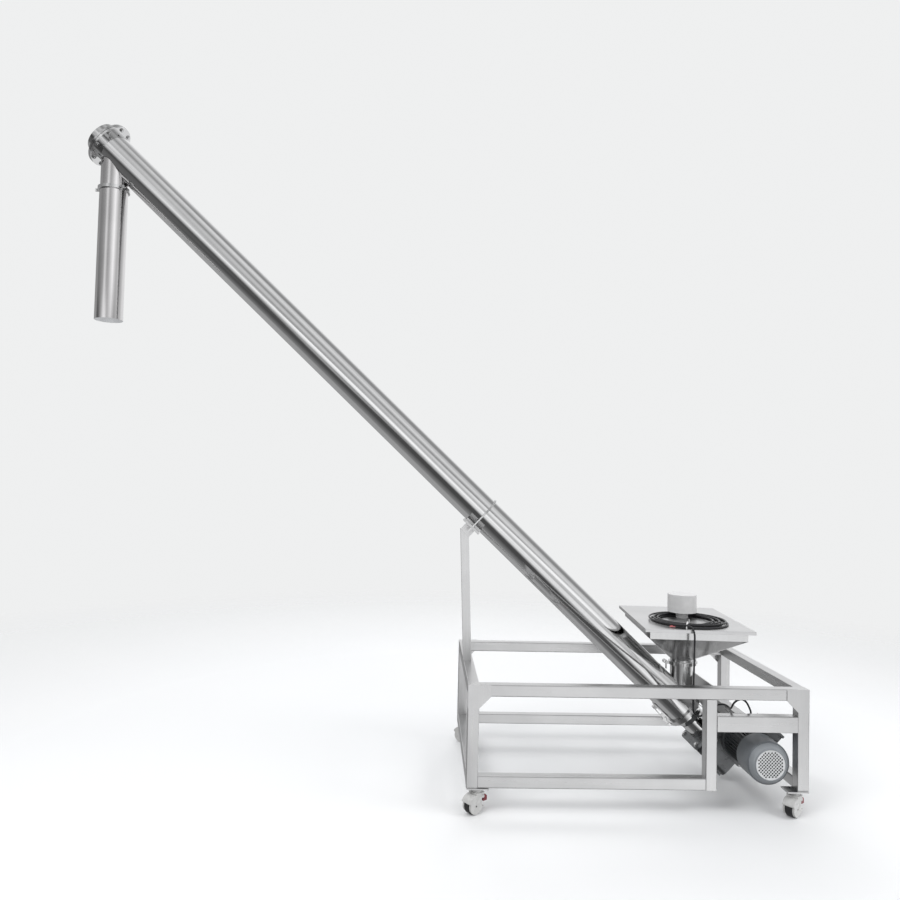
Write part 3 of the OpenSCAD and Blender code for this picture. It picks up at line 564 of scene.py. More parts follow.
class Solid:
    """Collects simple shapes in a local frame and turns them into one piece."""

    def __init__(self, place: Matrix | None = None) -> None:
        """Starts an empty shape.

        Args:
            place: The local frame; the row frame if left out.
        """
        self.bm = bmesh.new()
        self.place = place or Matrix.Identity(4)

    def _add(self, part: bmesh.types.BMesh, local: Matrix | None = None) -> Solid:
        """Adds a finished part, and frees it."""
        part.transform(self.place @ (local or Matrix.Identity(4)))
        mesh = bpy.data.meshes.new("part")
        part.to_mesh(mesh)
        part.free()
        self.bm.from_mesh(mesh)
        bpy.data.meshes.remove(mesh)
        return self

    def block(self, low: Triple, high: Triple, bevel: float) -> Solid:
        """Adds a box with rounded edges.

        Args:
            low: Lowest corner, in millimetres.
            high: Highest corner, in millimetres.
            bevel: Radius of its edges.

        Returns:
            This shape.
        """
        part = bmesh.new()
        bmesh.ops.create_cube(part, size=1.0)
        size = [(b - a) * MM for a, b in zip(low, high)]
        mid = Vector([(a + b) * 0.5 * MM for a, b in zip(low, high)])
        part.transform(Matrix.Translation(mid) @ Matrix.Diagonal((*size, 1)))
        bmesh.ops.bevel(part, geom=part.edges[:], offset=bevel * MM, segments=3, profile=0.5, affect="EDGES",
                        clamp_overlap=True)
        return self._add(part)

    def turned(self, profile: list[tuple[float, float]], local: Matrix | None = None, steps: int = 64) -> Solid:
        """Adds a body of revolution about the local Z axis.

        Args:
            profile: Radius and height of each point, in millimetres, from bottom to top outside.
            local: A further frame.
            steps: Steps round the axis.

        Returns:
            This shape.
        """
        part = bmesh.new()
        rings = []
        for r, z in profile:
            if r < 1e-6:
                rings.append([part.verts.new((0, 0, z * MM))])
            else:
                rings.append([part.verts.new((r * MM * math.cos(2 * math.pi * k / steps),
                                              r * MM * math.sin(2 * math.pi * k / steps), z * MM))
                              for k in range(steps)])
        for a, b in zip(rings, rings[1:]):
            for k in range(steps):
                n = (k + 1) % steps
                loop = [a[k % len(a)], a[n % len(a)], b[n % len(b)], b[k % len(b)]]
                loop = list(dict.fromkeys(loop))
                if len(loop) > 2:
                    part.faces.new(loop)
        bmesh.ops.recalc_face_normals(part, faces=part.faces)
        return self._add(part, local)

    def swept(self, path: list[Vector], radius: float, sides: int = 10, closed: bool = False,
              flat: float = 1.0) -> Solid:
        """Adds a bar that follows a path, with its ends closed.

        Args:
            path: Points in millimetres.
            radius: The bar's radius.
            sides: Sides of its section.
            closed: Whether the path joins up.
            flat: Height of the section over its width.

        Returns:
            This shape.
        """
        part = bmesh.new()
        skin(part, sweep_rings(part, [p * MM for p in path], radius * MM, sides, closed, flat), closed)
        return self._add(part)

    def piece(self, name: str, mat: Material, body: str = ROOT, stands_for: tuple[str, ...] = (),
              sharp: float = 35.0) -> bpy.types.Object:
        """Finishes the shape as an object. See show() for the arguments."""
        return show(name, self.bm, mat, body, stands_for, sharp)


def sweep_rings(part: bmesh.types.BMesh, pts: list[Vector], radius: float, sides: int, closed: bool,
                flat: float = 1.0) -> list[list[bmesh.types.BMVert]]:
    """Makes the rings of a tube along a path, with no twist between them.

    Args:
        part: The mesh to add to.
        pts: The path, in metres.
        radius: The tube's radius.
        sides: Sides of its section.
        closed: Whether the path joins up.
        flat: Height of the section over its width.

    Returns:
        The rings of vertices.
    """
    n = len(pts)
    ways = []
    for i in range(n):
        a = pts[(i - 1) % n] if closed or i > 0 else pts[i]
        b = pts[(i + 1) % n] if closed or i < n - 1 else pts[i]
        ways.append((b - a).normalized())
    side = ways[0].cross(Vector((0, 0, 1)))
    if side.length < 0.1:
        side = ways[0].cross(Vector((0, 1, 0)))
    rings = []
    for p, way in zip(pts, ways):
        side = (side - side.dot(way) * way).normalized()
        up = way.cross(side)
        rings.append([part.verts.new(p + radius * (math.cos(t) * side + flat * math.sin(t) * up))
                      for t in (2 * math.pi * k / sides for k in range(sides))])
    return rings


def skin(part: bmesh.types.BMesh, rings: list[list[bmesh.types.BMVert]], closed: bool) -> None:
    """Joins the rings of a tube by faces, and closes its ends unless it joins up.

    Args:
        part: The mesh that holds the rings.
        rings: The rings of vertices.
        closed: Whether the last ring joins the first.
    """
    sides = len(rings[0])
    for a, b in zip(rings, rings[1:] + rings[:1] if closed else rings[1:]):
        for k in range(sides):
            n = (k + 1) % sides
            part.faces.new((a[k], a[n], b[n], b[k]))
    if not closed:
        part.faces.new(rings[0])
        part.faces.new(rings[-1])
    bmesh.ops.recalc_face_normals(part, faces=part.faces)


def smooth_path(points: list[Vector], per: int = 5) -> list[Vector]:
    """A Catmull-Rom curve through points.

    Args:
        points: The points to pass through.
        per: Steps between two points.

    Returns:
        The curve's points, the given ones among them.
    """
    out = []
    ext = [points[0] * 2 - points[1], *points, points[-1] * 2 - points[-2]]
    for i in range(1, len(ext) - 2):
        a, b, c, d = ext[i - 1:i + 3]
        for k in range(per):
            t = k / per
            out.append(0.5 * (2 * b + (c - a) * t + (2 * a - 5 * b + 4 * c - d) * t * t
                              + (3 * b - a - 3 * c + d) * t ** 3))
    out.append(points[-1].copy())
    return out


# ---------------------------------------------------------------- repeated pieces

class Pattern(NodeTree):
    """A Geometry Nodes tree with named inputs, turned into a plain mesh when it is used."""

    def __init__(self, name: str, *numbers: str, count: bool = False) -> None:
        """Starts an empty tree.

        Args:
            name: The tree's name.
            *numbers: Names of its number inputs.
            count: Whether it has an input Count before them.
        """
        super().__init__(bpy.data.node_groups.new(name, "GeometryNodeTree"))
        self.tree.interface.new_socket("Geometry", in_out="OUTPUT", socket_type="NodeSocketGeometry")
        self.sockets: dict[str, str] = {}
        self.source: bpy.types.Node | None = None
        self.number("Material", "NodeSocketMaterial")
        if count:
            self.number("Count", "NodeSocketInt")
        for number in numbers:
            self.number(number)

    def number(self, name: str, kind: str = "NodeSocketFloat") -> None:
        """Adds a named input.

        Args:
            name: The input's name.
            kind: The socket's type.
        """
        socket = self.tree.interface.new_socket(name, in_out="INPUT", socket_type=kind)
        self.sockets[name] = socket.identifier

    def given(self, name: str) -> Socket:
        """The output of the tree's input node for a named input."""
        if self.source is None:
            self.source = self.tree.nodes.new("NodeGroupInput")
        return self.source.outputs[name]

    def vector(self, x: object = 0.0, y: object = 0.0, z: object = 0.0) -> Socket:
        """A vector made of sockets or numbers."""
        return self.of_terms("ShaderNodeCombineXYZ", (x, y, z))

    def shifted(self, shape: bpy.types.Node, way: Socket) -> bpy.types.Node:
        """Moves what a node made along a vector."""
        return self.add("GeometryNodeTransform", {"Geometry": shape.outputs[0], "Translation": way})

    def close(self, geometry: Socket) -> Pattern:
        """Ends the tree in Realize Instances and Set Material.

        Args:
            geometry: What the tree made.

        Returns:
            This pattern.
        """
        real = self.add("GeometryNodeRealizeInstances", {"Geometry": geometry})
        painted = self.add("GeometryNodeSetMaterial", {"Geometry": real.outputs[0],
                                                       "Material": self.given("Material")})
        self.add("NodeGroupOutput", {0: painted.outputs[0]})
        return self

    def use(self, name: str, place: Matrix, mat: Material, body: str = ROOT,
            stands_for: tuple[str, ...] = (), sharp: float = 35.0, **values: float) -> bpy.types.Object:
        """Runs the tree and keeps its result as a plain mesh.

        Args:
            name: The piece's name.
            place: The frame it is made in.
            mat: Its material.
            body: The body it rides on.
            stands_for: CAD nodes that it replaces.
            sharp: Edges over this angle stay sharp.
            **values: Inputs by name, spaces written as underscores; lengths in metres.

        Returns:
            The new object.
        """
        holder = bpy.data.objects.new(f"{name}_source", bpy.data.meshes.new(f"{name}_source"))
        bpy.context.scene.collection.objects.link(holder)
        mod = holder.modifiers.new("Pattern", "NODES")
        mod.node_group = self.tree
        mod[self.sockets["Material"]] = mat
        for key, value in values.items():
            mod[self.sockets[key.replace("_", " ")]] = value
        bpy.context.view_layer.update()
        evaluated = holder.evaluated_get(bpy.context.evaluated_depsgraph_get())
        mesh = bpy.data.meshes.new_from_object(evaluated)
        holder.modifiers.remove(mod)
        bpy.data.objects.remove(holder)
        bm = bmesh.new()
        bm.from_mesh(mesh)
        bpy.data.meshes.remove(mesh)
        bm.transform(place)
        return show(name, bm, mat, body, stands_for, sharp)


def bolt_ring() -> Pattern:
    """Hex bolts evenly round a circle: washer, head and crown, as shares of the head's radius and height.

    Returns:
        The pattern, with inputs Count, Circle, Head, Height and Start.
    """
    p = Pattern("bolt_ring", "Circle", "Head", "Height", "Start", count=True)
    points = p.add("GeometryNodeMeshCircle", {"Vertices": p.given("Count"), "Radius": p.given("Circle")})
    head, height = p.given("Head"), p.given("Height")
    joined = p.add("GeometryNodeJoinGeometry")
    for kind, radii, depth, sides, middle in (
            ("Cylinder", {"Radius": 1.25}, 0.22, 24, 0.11), ("Cylinder", {"Radius": 1.0}, 0.62, 6, 0.53),
            ("Cone", {"Radius Bottom": 0.95, "Radius Top": 0.78}, 0.16, 24, 0.84)):
        links = {name: p.math("MULTIPLY", head, share) for name, share in radii.items()}
        links["Depth"] = p.math("MULTIPLY", height, depth)
        layer = p.add(f"GeometryNodeMesh{kind}", links, {"Vertices": sides})
        raised = p.shifted(layer, p.vector(z=p.math("MULTIPLY", height, middle)))
        p.tree.links.new(raised.outputs[0], joined.inputs[0])
    spread = p.add("GeometryNodeInstanceOnPoints", {"Points": points.outputs[0], "Instance": joined.outputs[0]})
    turned = p.add("GeometryNodeTransform",
                   {"Geometry": spread.outputs[0], "Rotation": p.vector(z=p.given("Start"))})
    return p.close(turned.outputs[0])


def cooling_fins() -> Pattern:
    """Straight fins round a cylinder, with rounded tips.

    Returns:
        The pattern, with inputs Count, Inner, Outer, Length and Thick.
    """
    p = Pattern("cooling_fins", "Inner", "Outer", "Length", "Thick", count=True)
    height = p.math("SUBTRACT", p.given("Outer"), p.given("Inner"))
    fin = p.add("GeometryNodeMeshCube", {"Size": p.vector(height, p.given("Thick"), p.given("Length"))})
    tip = p.add("GeometryNodeMeshCylinder",
                {"Radius": p.math("MULTIPLY", p.given("Thick"), 0.5), "Depth": p.given("Length")}, {"Vertices": 8})
    tip_out = p.shifted(tip, p.vector(p.math("MULTIPLY", height, 0.5)))
    both = p.add("GeometryNodeJoinGeometry")
    p.tree.links.new(fin.outputs[0], both.inputs[0])
    p.tree.links.new(tip_out.outputs[0], both.inputs[0])
    middle = p.math("MULTIPLY", p.math("ADD", p.given("Outer"), p.given("Inner")), 0.5)
    moved = p.shifted(both, p.vector(middle, 0.0, p.math("MULTIPLY", p.given("Length"), 0.5)))
    line = p.add("GeometryNodeMeshLine", {"Count": p.given("Count")}, {"Offset": (0, 0, 0)})
    index = p.add("GeometryNodeInputIndex")
    step = p.math("DIVIDE", 2 * math.pi, p.given("Count"))
    spread = p.add("GeometryNodeInstanceOnPoints",
                   {"Points": line.outputs[0], "Instance": moved.outputs[0],
                    "Rotation": p.vector(z=p.math("MULTIPLY", index.outputs[0], step))})
    return p.close(spread.outputs[0])


def pierced_disc() -> Pattern:
    """A disc with a round field of holes on a square grid.

    Returns:
        The pattern, with inputs Radius, Thick, Hole, Pitch and Field.
    """
    p = Pattern("pierced_disc", "Radius", "Thick", "Hole", "Pitch", "Field")
    disc = p.add("GeometryNodeMeshCylinder", {"Radius": p.given("Radius"), "Depth": p.given("Thick")},
                 {"Vertices": 96})
    side = p.math("MULTIPLY", p.given("Pitch"), 14.0)
    grid = p.add("GeometryNodeMeshGrid", {"Size X": side, "Size Y": side}, {"Vertices X": 15, "Vertices Y": 15})
    place = p.add("GeometryNodeInputPosition")
    far = p.add("ShaderNodeVectorMath", {0: place.outputs[0]}, operation="LENGTH")
    outside = p.math("GREATER_THAN", far.outputs["Value"], p.given("Field"))
    kept = p.add("GeometryNodeDeleteGeometry", {"Geometry": grid.outputs[0], "Selection": outside})
    plug = p.add("GeometryNodeMeshCylinder",
                 {"Radius": p.given("Hole"), "Depth": p.math("MULTIPLY", p.given("Thick"), 3.0)}, {"Vertices": 14})
    plugs = p.add("GeometryNodeInstanceOnPoints", {"Points": kept.outputs[0], "Instance": plug.outputs[0]})
    real = p.add("GeometryNodeRealizeInstances", {"Geometry": plugs.outputs[0]})
    cut = p.add("GeometryNodeMeshBoolean", {"Mesh 1": disc.outputs[0], "Mesh 2": real.outputs[0]},
                operation="DIFFERENCE")
    return p.close(cut.outputs[0])


# ---------------------------------------------------------------- sub-assemblies

@dataclass
class Studio:
    """Camera, floor and light.

    Attributes:
        place: The camera's place, in millimetres from the part's origin.
        before: Levels of the surroundings in front of the machine, by direction square to the screw.
        behind: The same behind it.
        windows: Spans of height in which the levels in front go by direction from left to right.
        soft: Width of the windows' edges.
        turn: Half the width of the change from front to back.
    """

    place: Triple = (0.34, -3686.3, 1437.9)
    yaw: float = 0.03239
    pitch: float = 0.03885
    roll: float = 0.02404
    lens: float = 29.64
    middle: float = 0.45
    fade: tuple[float, float] = (2.6, 6.0)
    backdrop: Triple = (0.862, 0.868, 0.870)
    brightest: float = 1.8
    before: tuple[tuple[float, float], ...] = (
        (-1.0, 0.3), (-0.8, 0.1), (-0.5, 0.1), (-0.2, 1.2), (0.0, 1.6), (0.2, 0.7), (0.5, 0.9), (0.7, 0.4),
        (0.9, 1.1), (1.0, 0.8))
    behind: tuple[tuple[float, float], ...] = (
        (-1.0, 0.5), (-0.6, 0.5), (-0.2, 0.3), (0.0, 1.0), (0.6, 1.1), (0.9, 0.4), (1.0, 0.4))
    windows: tuple[tuple[float, float, tuple[tuple[float, float], ...]], ...] = (
        (0.2, 0.4, (
            (-1.0, 0.3), (-0.6, 0.5), (-0.4, 1.1), (-0.1, 0.5), (0.2, 0.8), (0.6, 1.6), (0.9, 0.7), (1.0, 0.9))),
        (-0.3, -0.1, (
            (-1.0, 0.2), (-0.6, 0.1), (-0.5, 0.5), (-0.3, 0.4), (-0.1, 1.2), (0.4, 1.2), (0.6, 0.1), (1.0, 0.1))))
    soft: float = 0.06
    turn: float = 0.12
    cast: Triple = (0.985, 0.99, 1.0)
    reach: float = 12.0
    lamps: tuple[tuple[str, tuple, tuple, float, float], ...] = (
        ("key", (-2.6, -3.4, 4.6), (0.0, 0.0, 1.0), 2.6, 110.0),
        ("side", (4.2, -1.4, 3.2), (0.6, 0.0, 0.9), 2.2, 50.0),
        ("back", (0.5, 4.2, 4.4), (0.0, 0.0, 1.0), 3.0, 70.0))

    def camera(self) -> None:
        """Makes the camera, with its place, direction and lens."""
        ahead = Vector((math.sin(self.yaw) * math.cos(self.pitch), math.cos(self.yaw) * math.cos(self.pitch),
                        math.sin(self.pitch)))
        right0 = Vector((math.cos(self.yaw), -math.sin(self.yaw), 0))
        up0 = right0.cross(ahead)
        right = math.cos(self.roll) * right0 + math.sin(self.roll) * up0
        up = -math.sin(self.roll) * right0 + math.cos(self.roll) * up0
        data = bpy.data.cameras.new("camera")
        data.lens = self.lens
        data.sensor_width = 36.0
        data.clip_end = 200.0
        obj = bpy.data.objects.new("camera", data)
        turn = Matrix((right, up, -ahead)).transposed().to_4x4()
        obj.matrix_world = Matrix.Translation([v * MM for v in self.place]) @ turn
        bpy.context.scene.collection.objects.link(obj)
        bpy.context.scene.camera = obj

    def floor(self) -> None:
        """Makes the pale floor, a disc that fades out into the pale surroundings."""
        bm = bmesh.new()
        bmesh.ops.create_circle(bm, cap_ends=True, segments=96, radius=self.reach)
        bm.transform(Matrix.Translation((self.middle, 0, 0)))
        mesh = bpy.data.meshes.new("floor")
        bm.to_mesh(mesh)
        bm.free()
        s = Shader("floor_pale")
        cloud = s.noise(s.place, 0.35, 2.0)
        s.put(Base_Color=s.ramp(cloud, [(0.3, (0.83, 0.84, 0.85)), (0.7, (0.86, 0.865, 0.87))]), Roughness=0.6,
              Specular_IOR_Level=0.1)
        centred = s.add("ShaderNodeMapping", {"Vector": s.place}, {"Location": (-self.middle, 0, 0)})
        far = s.add("ShaderNodeVectorMath", {0: centred.outputs[0]}, operation="LENGTH")
        near = s.spread(far.outputs["Value"], 1.0, 0.0, *self.fade)
        shown = s.math("MULTIPLY", near, s.add("ShaderNodeLightPath").outputs["Is Camera Ray"])
        clear = s.add("ShaderNodeBsdfTransparent")
        mix = s.of_terms("ShaderNodeMixShader", (shown, clear.outputs[0], s.bsdf.outputs[0]))
        s.tree.links.new(mix, s.out.inputs[0])
        mesh.materials.append(s.mat)
        obj = bpy.data.objects.new("floor", mesh)
        bpy.context.scene.collection.objects.link(obj)

    def banded(self, world: NodeTree, value: Socket, stops: tuple[tuple[float, float], ...]) -> Socket:
        """Grey levels along a value from -1 to 1.

        Args:
            world: The world's tree.
            value: The value.
            stops: Values with their levels, up to the brightest.

        Returns:
            The colour socket.
        """
        shades = [((pos + 1) / 2, tuple(level / self.brightest * v for v in self.cast)) for pos, level in stops]
        return world.ramp(world.spread(value, 0.0, 1.0, -1.0, 1.0), shades)

    def surround(self) -> None:
        """Makes the surroundings: plain and pale to look at, in soft bands for what they light."""
        made = bpy.data.worlds.new("studio")
        bpy.context.scene.world = made
        made.use_nodes = True
        made.node_tree.nodes.clear()
        world = NodeTree(made.node_tree)
        way = world.add("ShaderNodeTexCoord").outputs["Generated"]
        x, y, z = world.add("ShaderNodeSeparateXYZ", {0: way}).outputs
        across = world.add("ShaderNodeVectorMath", {0: way}, {1: (math.sin(TILT), 0, math.cos(TILT))},
                           operation="DOT_PRODUCT").outputs["Value"]
        side = world.spread(y, 0.0, 1.0, -self.turn, self.turn, "SMOOTHSTEP")
        pattern = world.of_terms("ShaderNodeMixRGB", (side, self.banded(world, across, self.before),
                                                      self.banded(world, across, self.behind)))
        for low, high, stops in self.windows:
            off = world.math("ABSOLUTE", world.math("SUBTRACT", z, (low + high) / 2))
            within = world.spread(off, 1.0, 0.0, (high - low - self.soft) / 2, (high - low + self.soft) / 2,
                                  "SMOOTHSTEP")
            share = world.math("MULTIPLY", within, world.math("SUBTRACT", 1.0, side))
            pattern = world.of_terms("ShaderNodeMixRGB", (share, pattern, self.banded(world, x, stops)))
        lit = world.add("ShaderNodeBackground", {"Color": pattern}, {"Strength": self.brightest})
        plain = world.add("ShaderNodeBackground", None, {"Color": (*self.backdrop, 1)})
        seen = world.add("ShaderNodeLightPath").outputs["Is Camera Ray"]
        either = world.of_terms("ShaderNodeMixShader", (seen, lit.outputs[0], plain.outputs[0]))
        world.add("ShaderNodeOutputWorld", {0: either})

    def light(self) -> None:
        """Makes the soft lights, which shade but don't mirror in the steel."""
        for name, spot, aim, size, power in self.lamps:
            data = bpy.data.lights.new(name, "AREA")
            data.shape = "RECTANGLE"
            data.size = size
            data.size_y = size * 0.7
            data.energy = power
            obj = bpy.data.objects.new(name, data)
            way = Vector(aim) - Vector(spot)
            obj.matrix_world = Matrix.Translation(spot) @ way.to_track_quat("-Z", "Y").to_matrix().to_4x4()
            obj.visible_glossy = False
            bpy.context.scene.collection.objects.link(obj)
        bpy.context.scene.view_settings.view_transform = "Standard"

    def build(self) -> None:
        """Makes the whole studio."""
        self.camera()
        self.floor()
        self.surround()
        self.light()


@dataclass
class Cable:
    """The motor's cable: from its gland over the beam, up to the lid and into a coil."""

    radius: float = 4.25
    lid: float = 775.0
    centre: tuple[float, float] = (1082.0, -110.0)
    inner: float = 122.0
    outer: float = 190.7
    turns_up: float = 2.75
    turns_down: float = 3.05
    shift: float = 13.0
    wave: float = 3.5
    gland: Triple = (110.0, 76.0, -245.0)
    start: float = -124.1
    step: float = 75.0
    per_point: float = 9.0
    layers: tuple[float, float] = (8.7, 0.1)
    spare: float = 3.0
    phase: float = 1.9
    tied_at: float = -112.0

    ROUTE = [
        (975, -268, 788), (990, -276, 789), (1004, -287, 790), (1015, -301, 790), (1022, -315, 787),
        (1026, -327, 779), (1028, -335, 767), (1029, -339, 753), (1029, -340, 735), (1029, -339, 700),
        (1028, -339, 640), (1027, -339, 580), (1026, -339, 520), (1026, -339, 470), (1026, -338, 426),
        (1029, -337, 412), (1038, -335, 400), (1051, -331, 393), (1066, -326, 392), (1079, -320, 398),
        (1088, -315, 406), (1096, -310, 412), (1107, -303, 416), (1120, -292, 418), (1134, -280, 419),
        (1146, -272, 421), (1158, -269, 424), (1172, -271, 428), (1183, -279, 432), (1190, -291, 434),
        (1192, -305, 435), (1192, -325, 435), (1191, -345, 435), (1189, -362, 440), (1188, -375, 452),
        (1192, -384, 468), (1203, -389, 481), (1219, -390, 487), (1235, -388, 484), (1249, -382, 473),
        (1261, -373, 459), (1272, -361, 444), (1283, -345, 430), (1295, -325, 415), (1306, -302, 401),
        (1317, -281, 389), (1328, -263, 377), (1340, -251, 366),
    ]

    def mouth(self) -> Vector:
        """The gland's mouth, in millimetres from the frame's left end."""
        n, s = CENTRES + self.gland[0], -GEAR_S + self.gland[1]
        c, k = math.cos(TILT), math.sin(TILT)
        return Vector((JOINT[0] - s * c + n * k, self.gland[2], JOINT[1] + s * k + n * c))

    def coil(self) -> list[Vector]:
        """The coil's line: an upper layer wound inwards, then a lower one wound outwards.

        Returns:
            Points in millimetres from the frame's left end.
        """
        start, step = math.radians(self.start), math.radians(self.step)
        up, down = 2 * math.pi * self.turns_up, 2 * math.pi * self.turns_down
        high, low = (self.lid + self.radius + rise for rise in self.layers)
        whole = up + step + down
        out = []
        count = int(whole / math.radians(self.per_point))
        for i in range(1, count + 1):
            a = whole * i / count
            if a < up:
                r, z = self.outer + (self.inner + self.spare - self.outer) * a / up, high
            elif a < up + step:
                t = (a - up) / step
                t = t * t * (3 - 2 * t)
                r, z = self.inner + self.spare * (1 - t), high + (low - high) * t
            else:
                t = (a - up - step) / down
                r, z = self.inner + (self.outer + 0.5 - self.inner) * t, low
            th = start - a
            slack = min(1.0, a / 2, (whole - a) / 2)
            inward = (self.outer - r) / (self.outer - self.inner)
            phase = 0.0 if z == high else self.phase
            r -= slack * self.wave * (1 + math.sin(3 * th + phase) * 0.6 + math.sin(2 * th + 2 * phase) * 0.4)
            out.append(Vector((self.centre[0] + r * math.cos(th) - self.shift * inward,
                               self.centre[1] + r * math.sin(th) + 0.3 * self.shift * inward, z)))
        return out

    def build(self, f: Finishes) -> None:
        """Makes the cable, its tie and its bared wires.

        Args:
            f: The machine's finishes.
        """
        mouth = self.mouth()
        way = Vector((-math.cos(TILT), 0, math.sin(TILT)))
        knots = [mouth, mouth + 10 * way + Vector((0, -1, 0)), *[Vector(p) for p in reversed(self.ROUTE)]]
        line = smooth_path(knots, 4) + self.coil()
        pts = [at(*p) for p in line]
        bm = bmesh.new()
        skin(bm, sweep_rings(bm, pts, self.radius * MM, 12, False), False)
        cable = show("motor_cable", bm, f.sheath, ROOT, ("power_cord", "cord_coil"))
        end, before = line[-1], line[-3]
        ahead = (end - before).normalized()
        side = ahead.cross(Vector((0, 0, 1)))
        wires = Solid(upright(0, 0, 0))
        for k, lean in enumerate((-0.5, 0.0, 0.5)):
            path = smooth_path([end - 2 * ahead + side * lean * 3, end + 10 * ahead + side * lean * 5,
                                end + 17 * ahead + side * lean * 11 + Vector((0, 0, 1.0 * k)),
                                end + 25 * ahead + side * (lean * 15 - 3) - Vector((0, 0, 0.5))], 4)
            wires.swept(path, 1.3, 8)
        bared = wires.piece("bared_wires", f.wire)
        th = math.radians(self.tied_at)
        away = Vector((math.cos(th), math.sin(th), 0))
        mid = Vector((self.centre[0], self.centre[1], 0))
        corners = [(self.inner - 6, 0.9), (self.outer + 6, 0.9), (self.outer + 7, 10), (self.outer + 4, 19.5),
                   (self.inner - 4, 19.5), (self.inner - 7, 10)]
        loop = [mid + away * r + Vector((0, 0, self.lid + z)) for r, z in corners]
        tail = [loop[3], loop[3] + Vector((4, -4, 5)), loop[3] + Vector((10, -2, 14)), loop[3] + Vector((13, 6, 24))]
        tie = Solid(upright(0, 0, 0))
        tie.swept(loop, 2.4, 8, True, flat=0.5)
        tie.swept(smooth_path(tail, 4), 2.2, 8, flat=0.5)
        tied = tie.piece("coil_tie", f.tie)


@dataclass
class Assembly:
    """What every sub-assembly is made from.

    Attributes:
        f: The machine's finishes.
        bolts: The pattern for rings of bolts.
    """

    frame: dict
    f: Finishes
    bolts: Pattern

    def dress(self, node: str, mat: Material, body: str = ROOT, bevel: float = 0.0) -> bpy.types.Object:
        """Shows a CAD node's shape. See dress() for the arguments."""
        return dress(self.frame, node, mat, body, bevel)

    def bolted(self, name: str, place: Matrix, count: int, circle: float, head: float, height: float,
               turn: float, stands_for: tuple[str, ...] = ()) -> None:
        """Makes a ring of bolts, all lengths in millimetres.

        Args:
            name: The piece's name.
            place: The ring's frame, with the bolts' heads towards its Z.
            count: Number of bolts.
            circle: Radius of the ring.
            head: Radius of each head.
            height: Height of each head with its washer.
            turn: Angle of the first bolt, in degrees.
            stands_for: CAD nodes that it replaces.
        """
        self.bolts.use(name, place, self.f.bolt, Count=count, Circle=circle * MM, Head=head * MM,
                       Height=height * MM, Start=math.radians(turn), stands_for=stands_for)


@dataclass
class FrameWork(Assembly):
    """The square-tube frame with its posts, plates and the post under the conveyor."""

    edge: float = 4.5

    def build(self) -> None:
        """Makes the frame's pieces."""
        along_x = ["top_rail_front", "top_rail_back", "bottom_rail_front", "bottom_rail_back", "bay_rail"]
        along_y = ["top_rail_left", "top_rail_right", "bottom_rail_left", "bottom_rail_right", "drive_beam"]
        for nodes, axis, mat in ((along_x, 0, self.f.frame_x), (along_y, 1, self.f.frame_y),
                                 (["mid_post", "back_post"], 2, self.f.frame_z)):
            for node in nodes:
                rounded_tube(self.frame, node, axis, mat, self.edge)
        for corner in CORNERS:
            self.leg(corner)
        for node, mat, bevel in (("support_post", self.f.frame_z, 2.0), ("saddle", self.f.corner, 1.2),
                                 ("u_bolt", self.f.bolt, 0.0), ("drive_plate", self.f.corner, 0.8)):
            self.dress(node, mat, bevel=bevel)
        log.info("frame: %d tubes and 4 legs", len(along_x) + len(along_y) + 2)

    def leg(self, corner: str) -> None:
        """Makes one leg with rounded long edges.

        Args:
            corner: Name of the corner.
        """
        node = f"leg_{corner}"
        bm = node_copy(self.frame, node, dissolve=True)
        edges = [e for e in bm.edges
                 if abs((e.verts[1].co - e.verts[0].co).normalized().z) > 0.99
                 and (e.verts[1].co - e.verts[0].co).length > 0.2 and e.is_convex]
        bmesh.ops.bevel(bm, geom=edges, offset=self.edge * MM, segments=5, profile=0.5, affect="EDGES",
                        clamp_overlap=True)
        show(f"{node}_tube", bm, self.f.frame_z, ROOT, (node,), 50.0, flat=True)


@dataclass
class Conveyor(Assembly):
    """Casing, end cover, spout and the screw inside."""

    bolt_circle: float = 102.0
    flange: float = 11.0
    length: float = 4000.0
    spout_x: float = -1791.0

    def build(self) -> None:
        """Makes the conveyor's pieces."""
        self.dress("casing", self.f.casing)
        self.dress("end_cover", self.f.flange, bevel=0.9)
        upper = inclined(self.length + self.flange)
        lower = inclined(self.length - self.flange) @ Matrix.Rotation(math.pi, 4, "X")
        self.bolted("flange_bolt_heads", upper, 8, self.bolt_circle, 8.6, 6.4, 22.5, ("flange_bolts",))
        self.bolted("flange_nuts", lower, 8, self.bolt_circle, 8.6, 7.5, 22.5)
        self.flange_edges()
        self.dress("spout_pipe", self.f.spout)
        self.dress("spout_clamp", self.f.fitting, bevel=1.0)
        sleeve = self.dress("spout_sleeve", self.f.spout)
        # The sleeve's inner faces get a second material whose glow is painted bounce light.
        sleeve.data.materials.append(self.f.inside)
        axis = at(self.spout_x, 0, 0)
        for face in sleeve.data.polygons:
            out = Vector((face.center.x - axis.x, face.center.y, 0))
            if abs(face.normal.z) < 0.5 and face.normal.dot(out) < 0:
                face.material_index = 1
        for node in ("auger_shaft", "auger_flight", "output_sleeve"):
            self.dress(node, self.f.screw, "screw")
        log.info("conveyor: casing, cover, spout and screw")

    def flange_edges(self) -> None:
        """Makes the gasket between the flanges, the cap's plug and its grease nipples."""
        gasket = Solid(inclined(self.length))
        gasket.turned([(60, -0.6), (116.4, -0.6), (116.4, 0.6), (60, 0.6), (60, -0.6)])
        gasket.piece("flange_gasket", self.f.black)
        plug = Solid(inclined(self.length + self.flange))
        plug.turned([(0, 40.2), (9, 40.2), (11, 41), (11, 44.6), (0, 44.8)], steps=32)
        nipple = [(0, 43), (6, 43), (6, 44.4), (5, 44.9), (0, 44.9)]
        for side in (-1, 1):
            plug.turned(nipple, Matrix.Translation((0, side * 0.05, 0)), 6)
        plug.piece("cap_plugs", self.f.bolt)


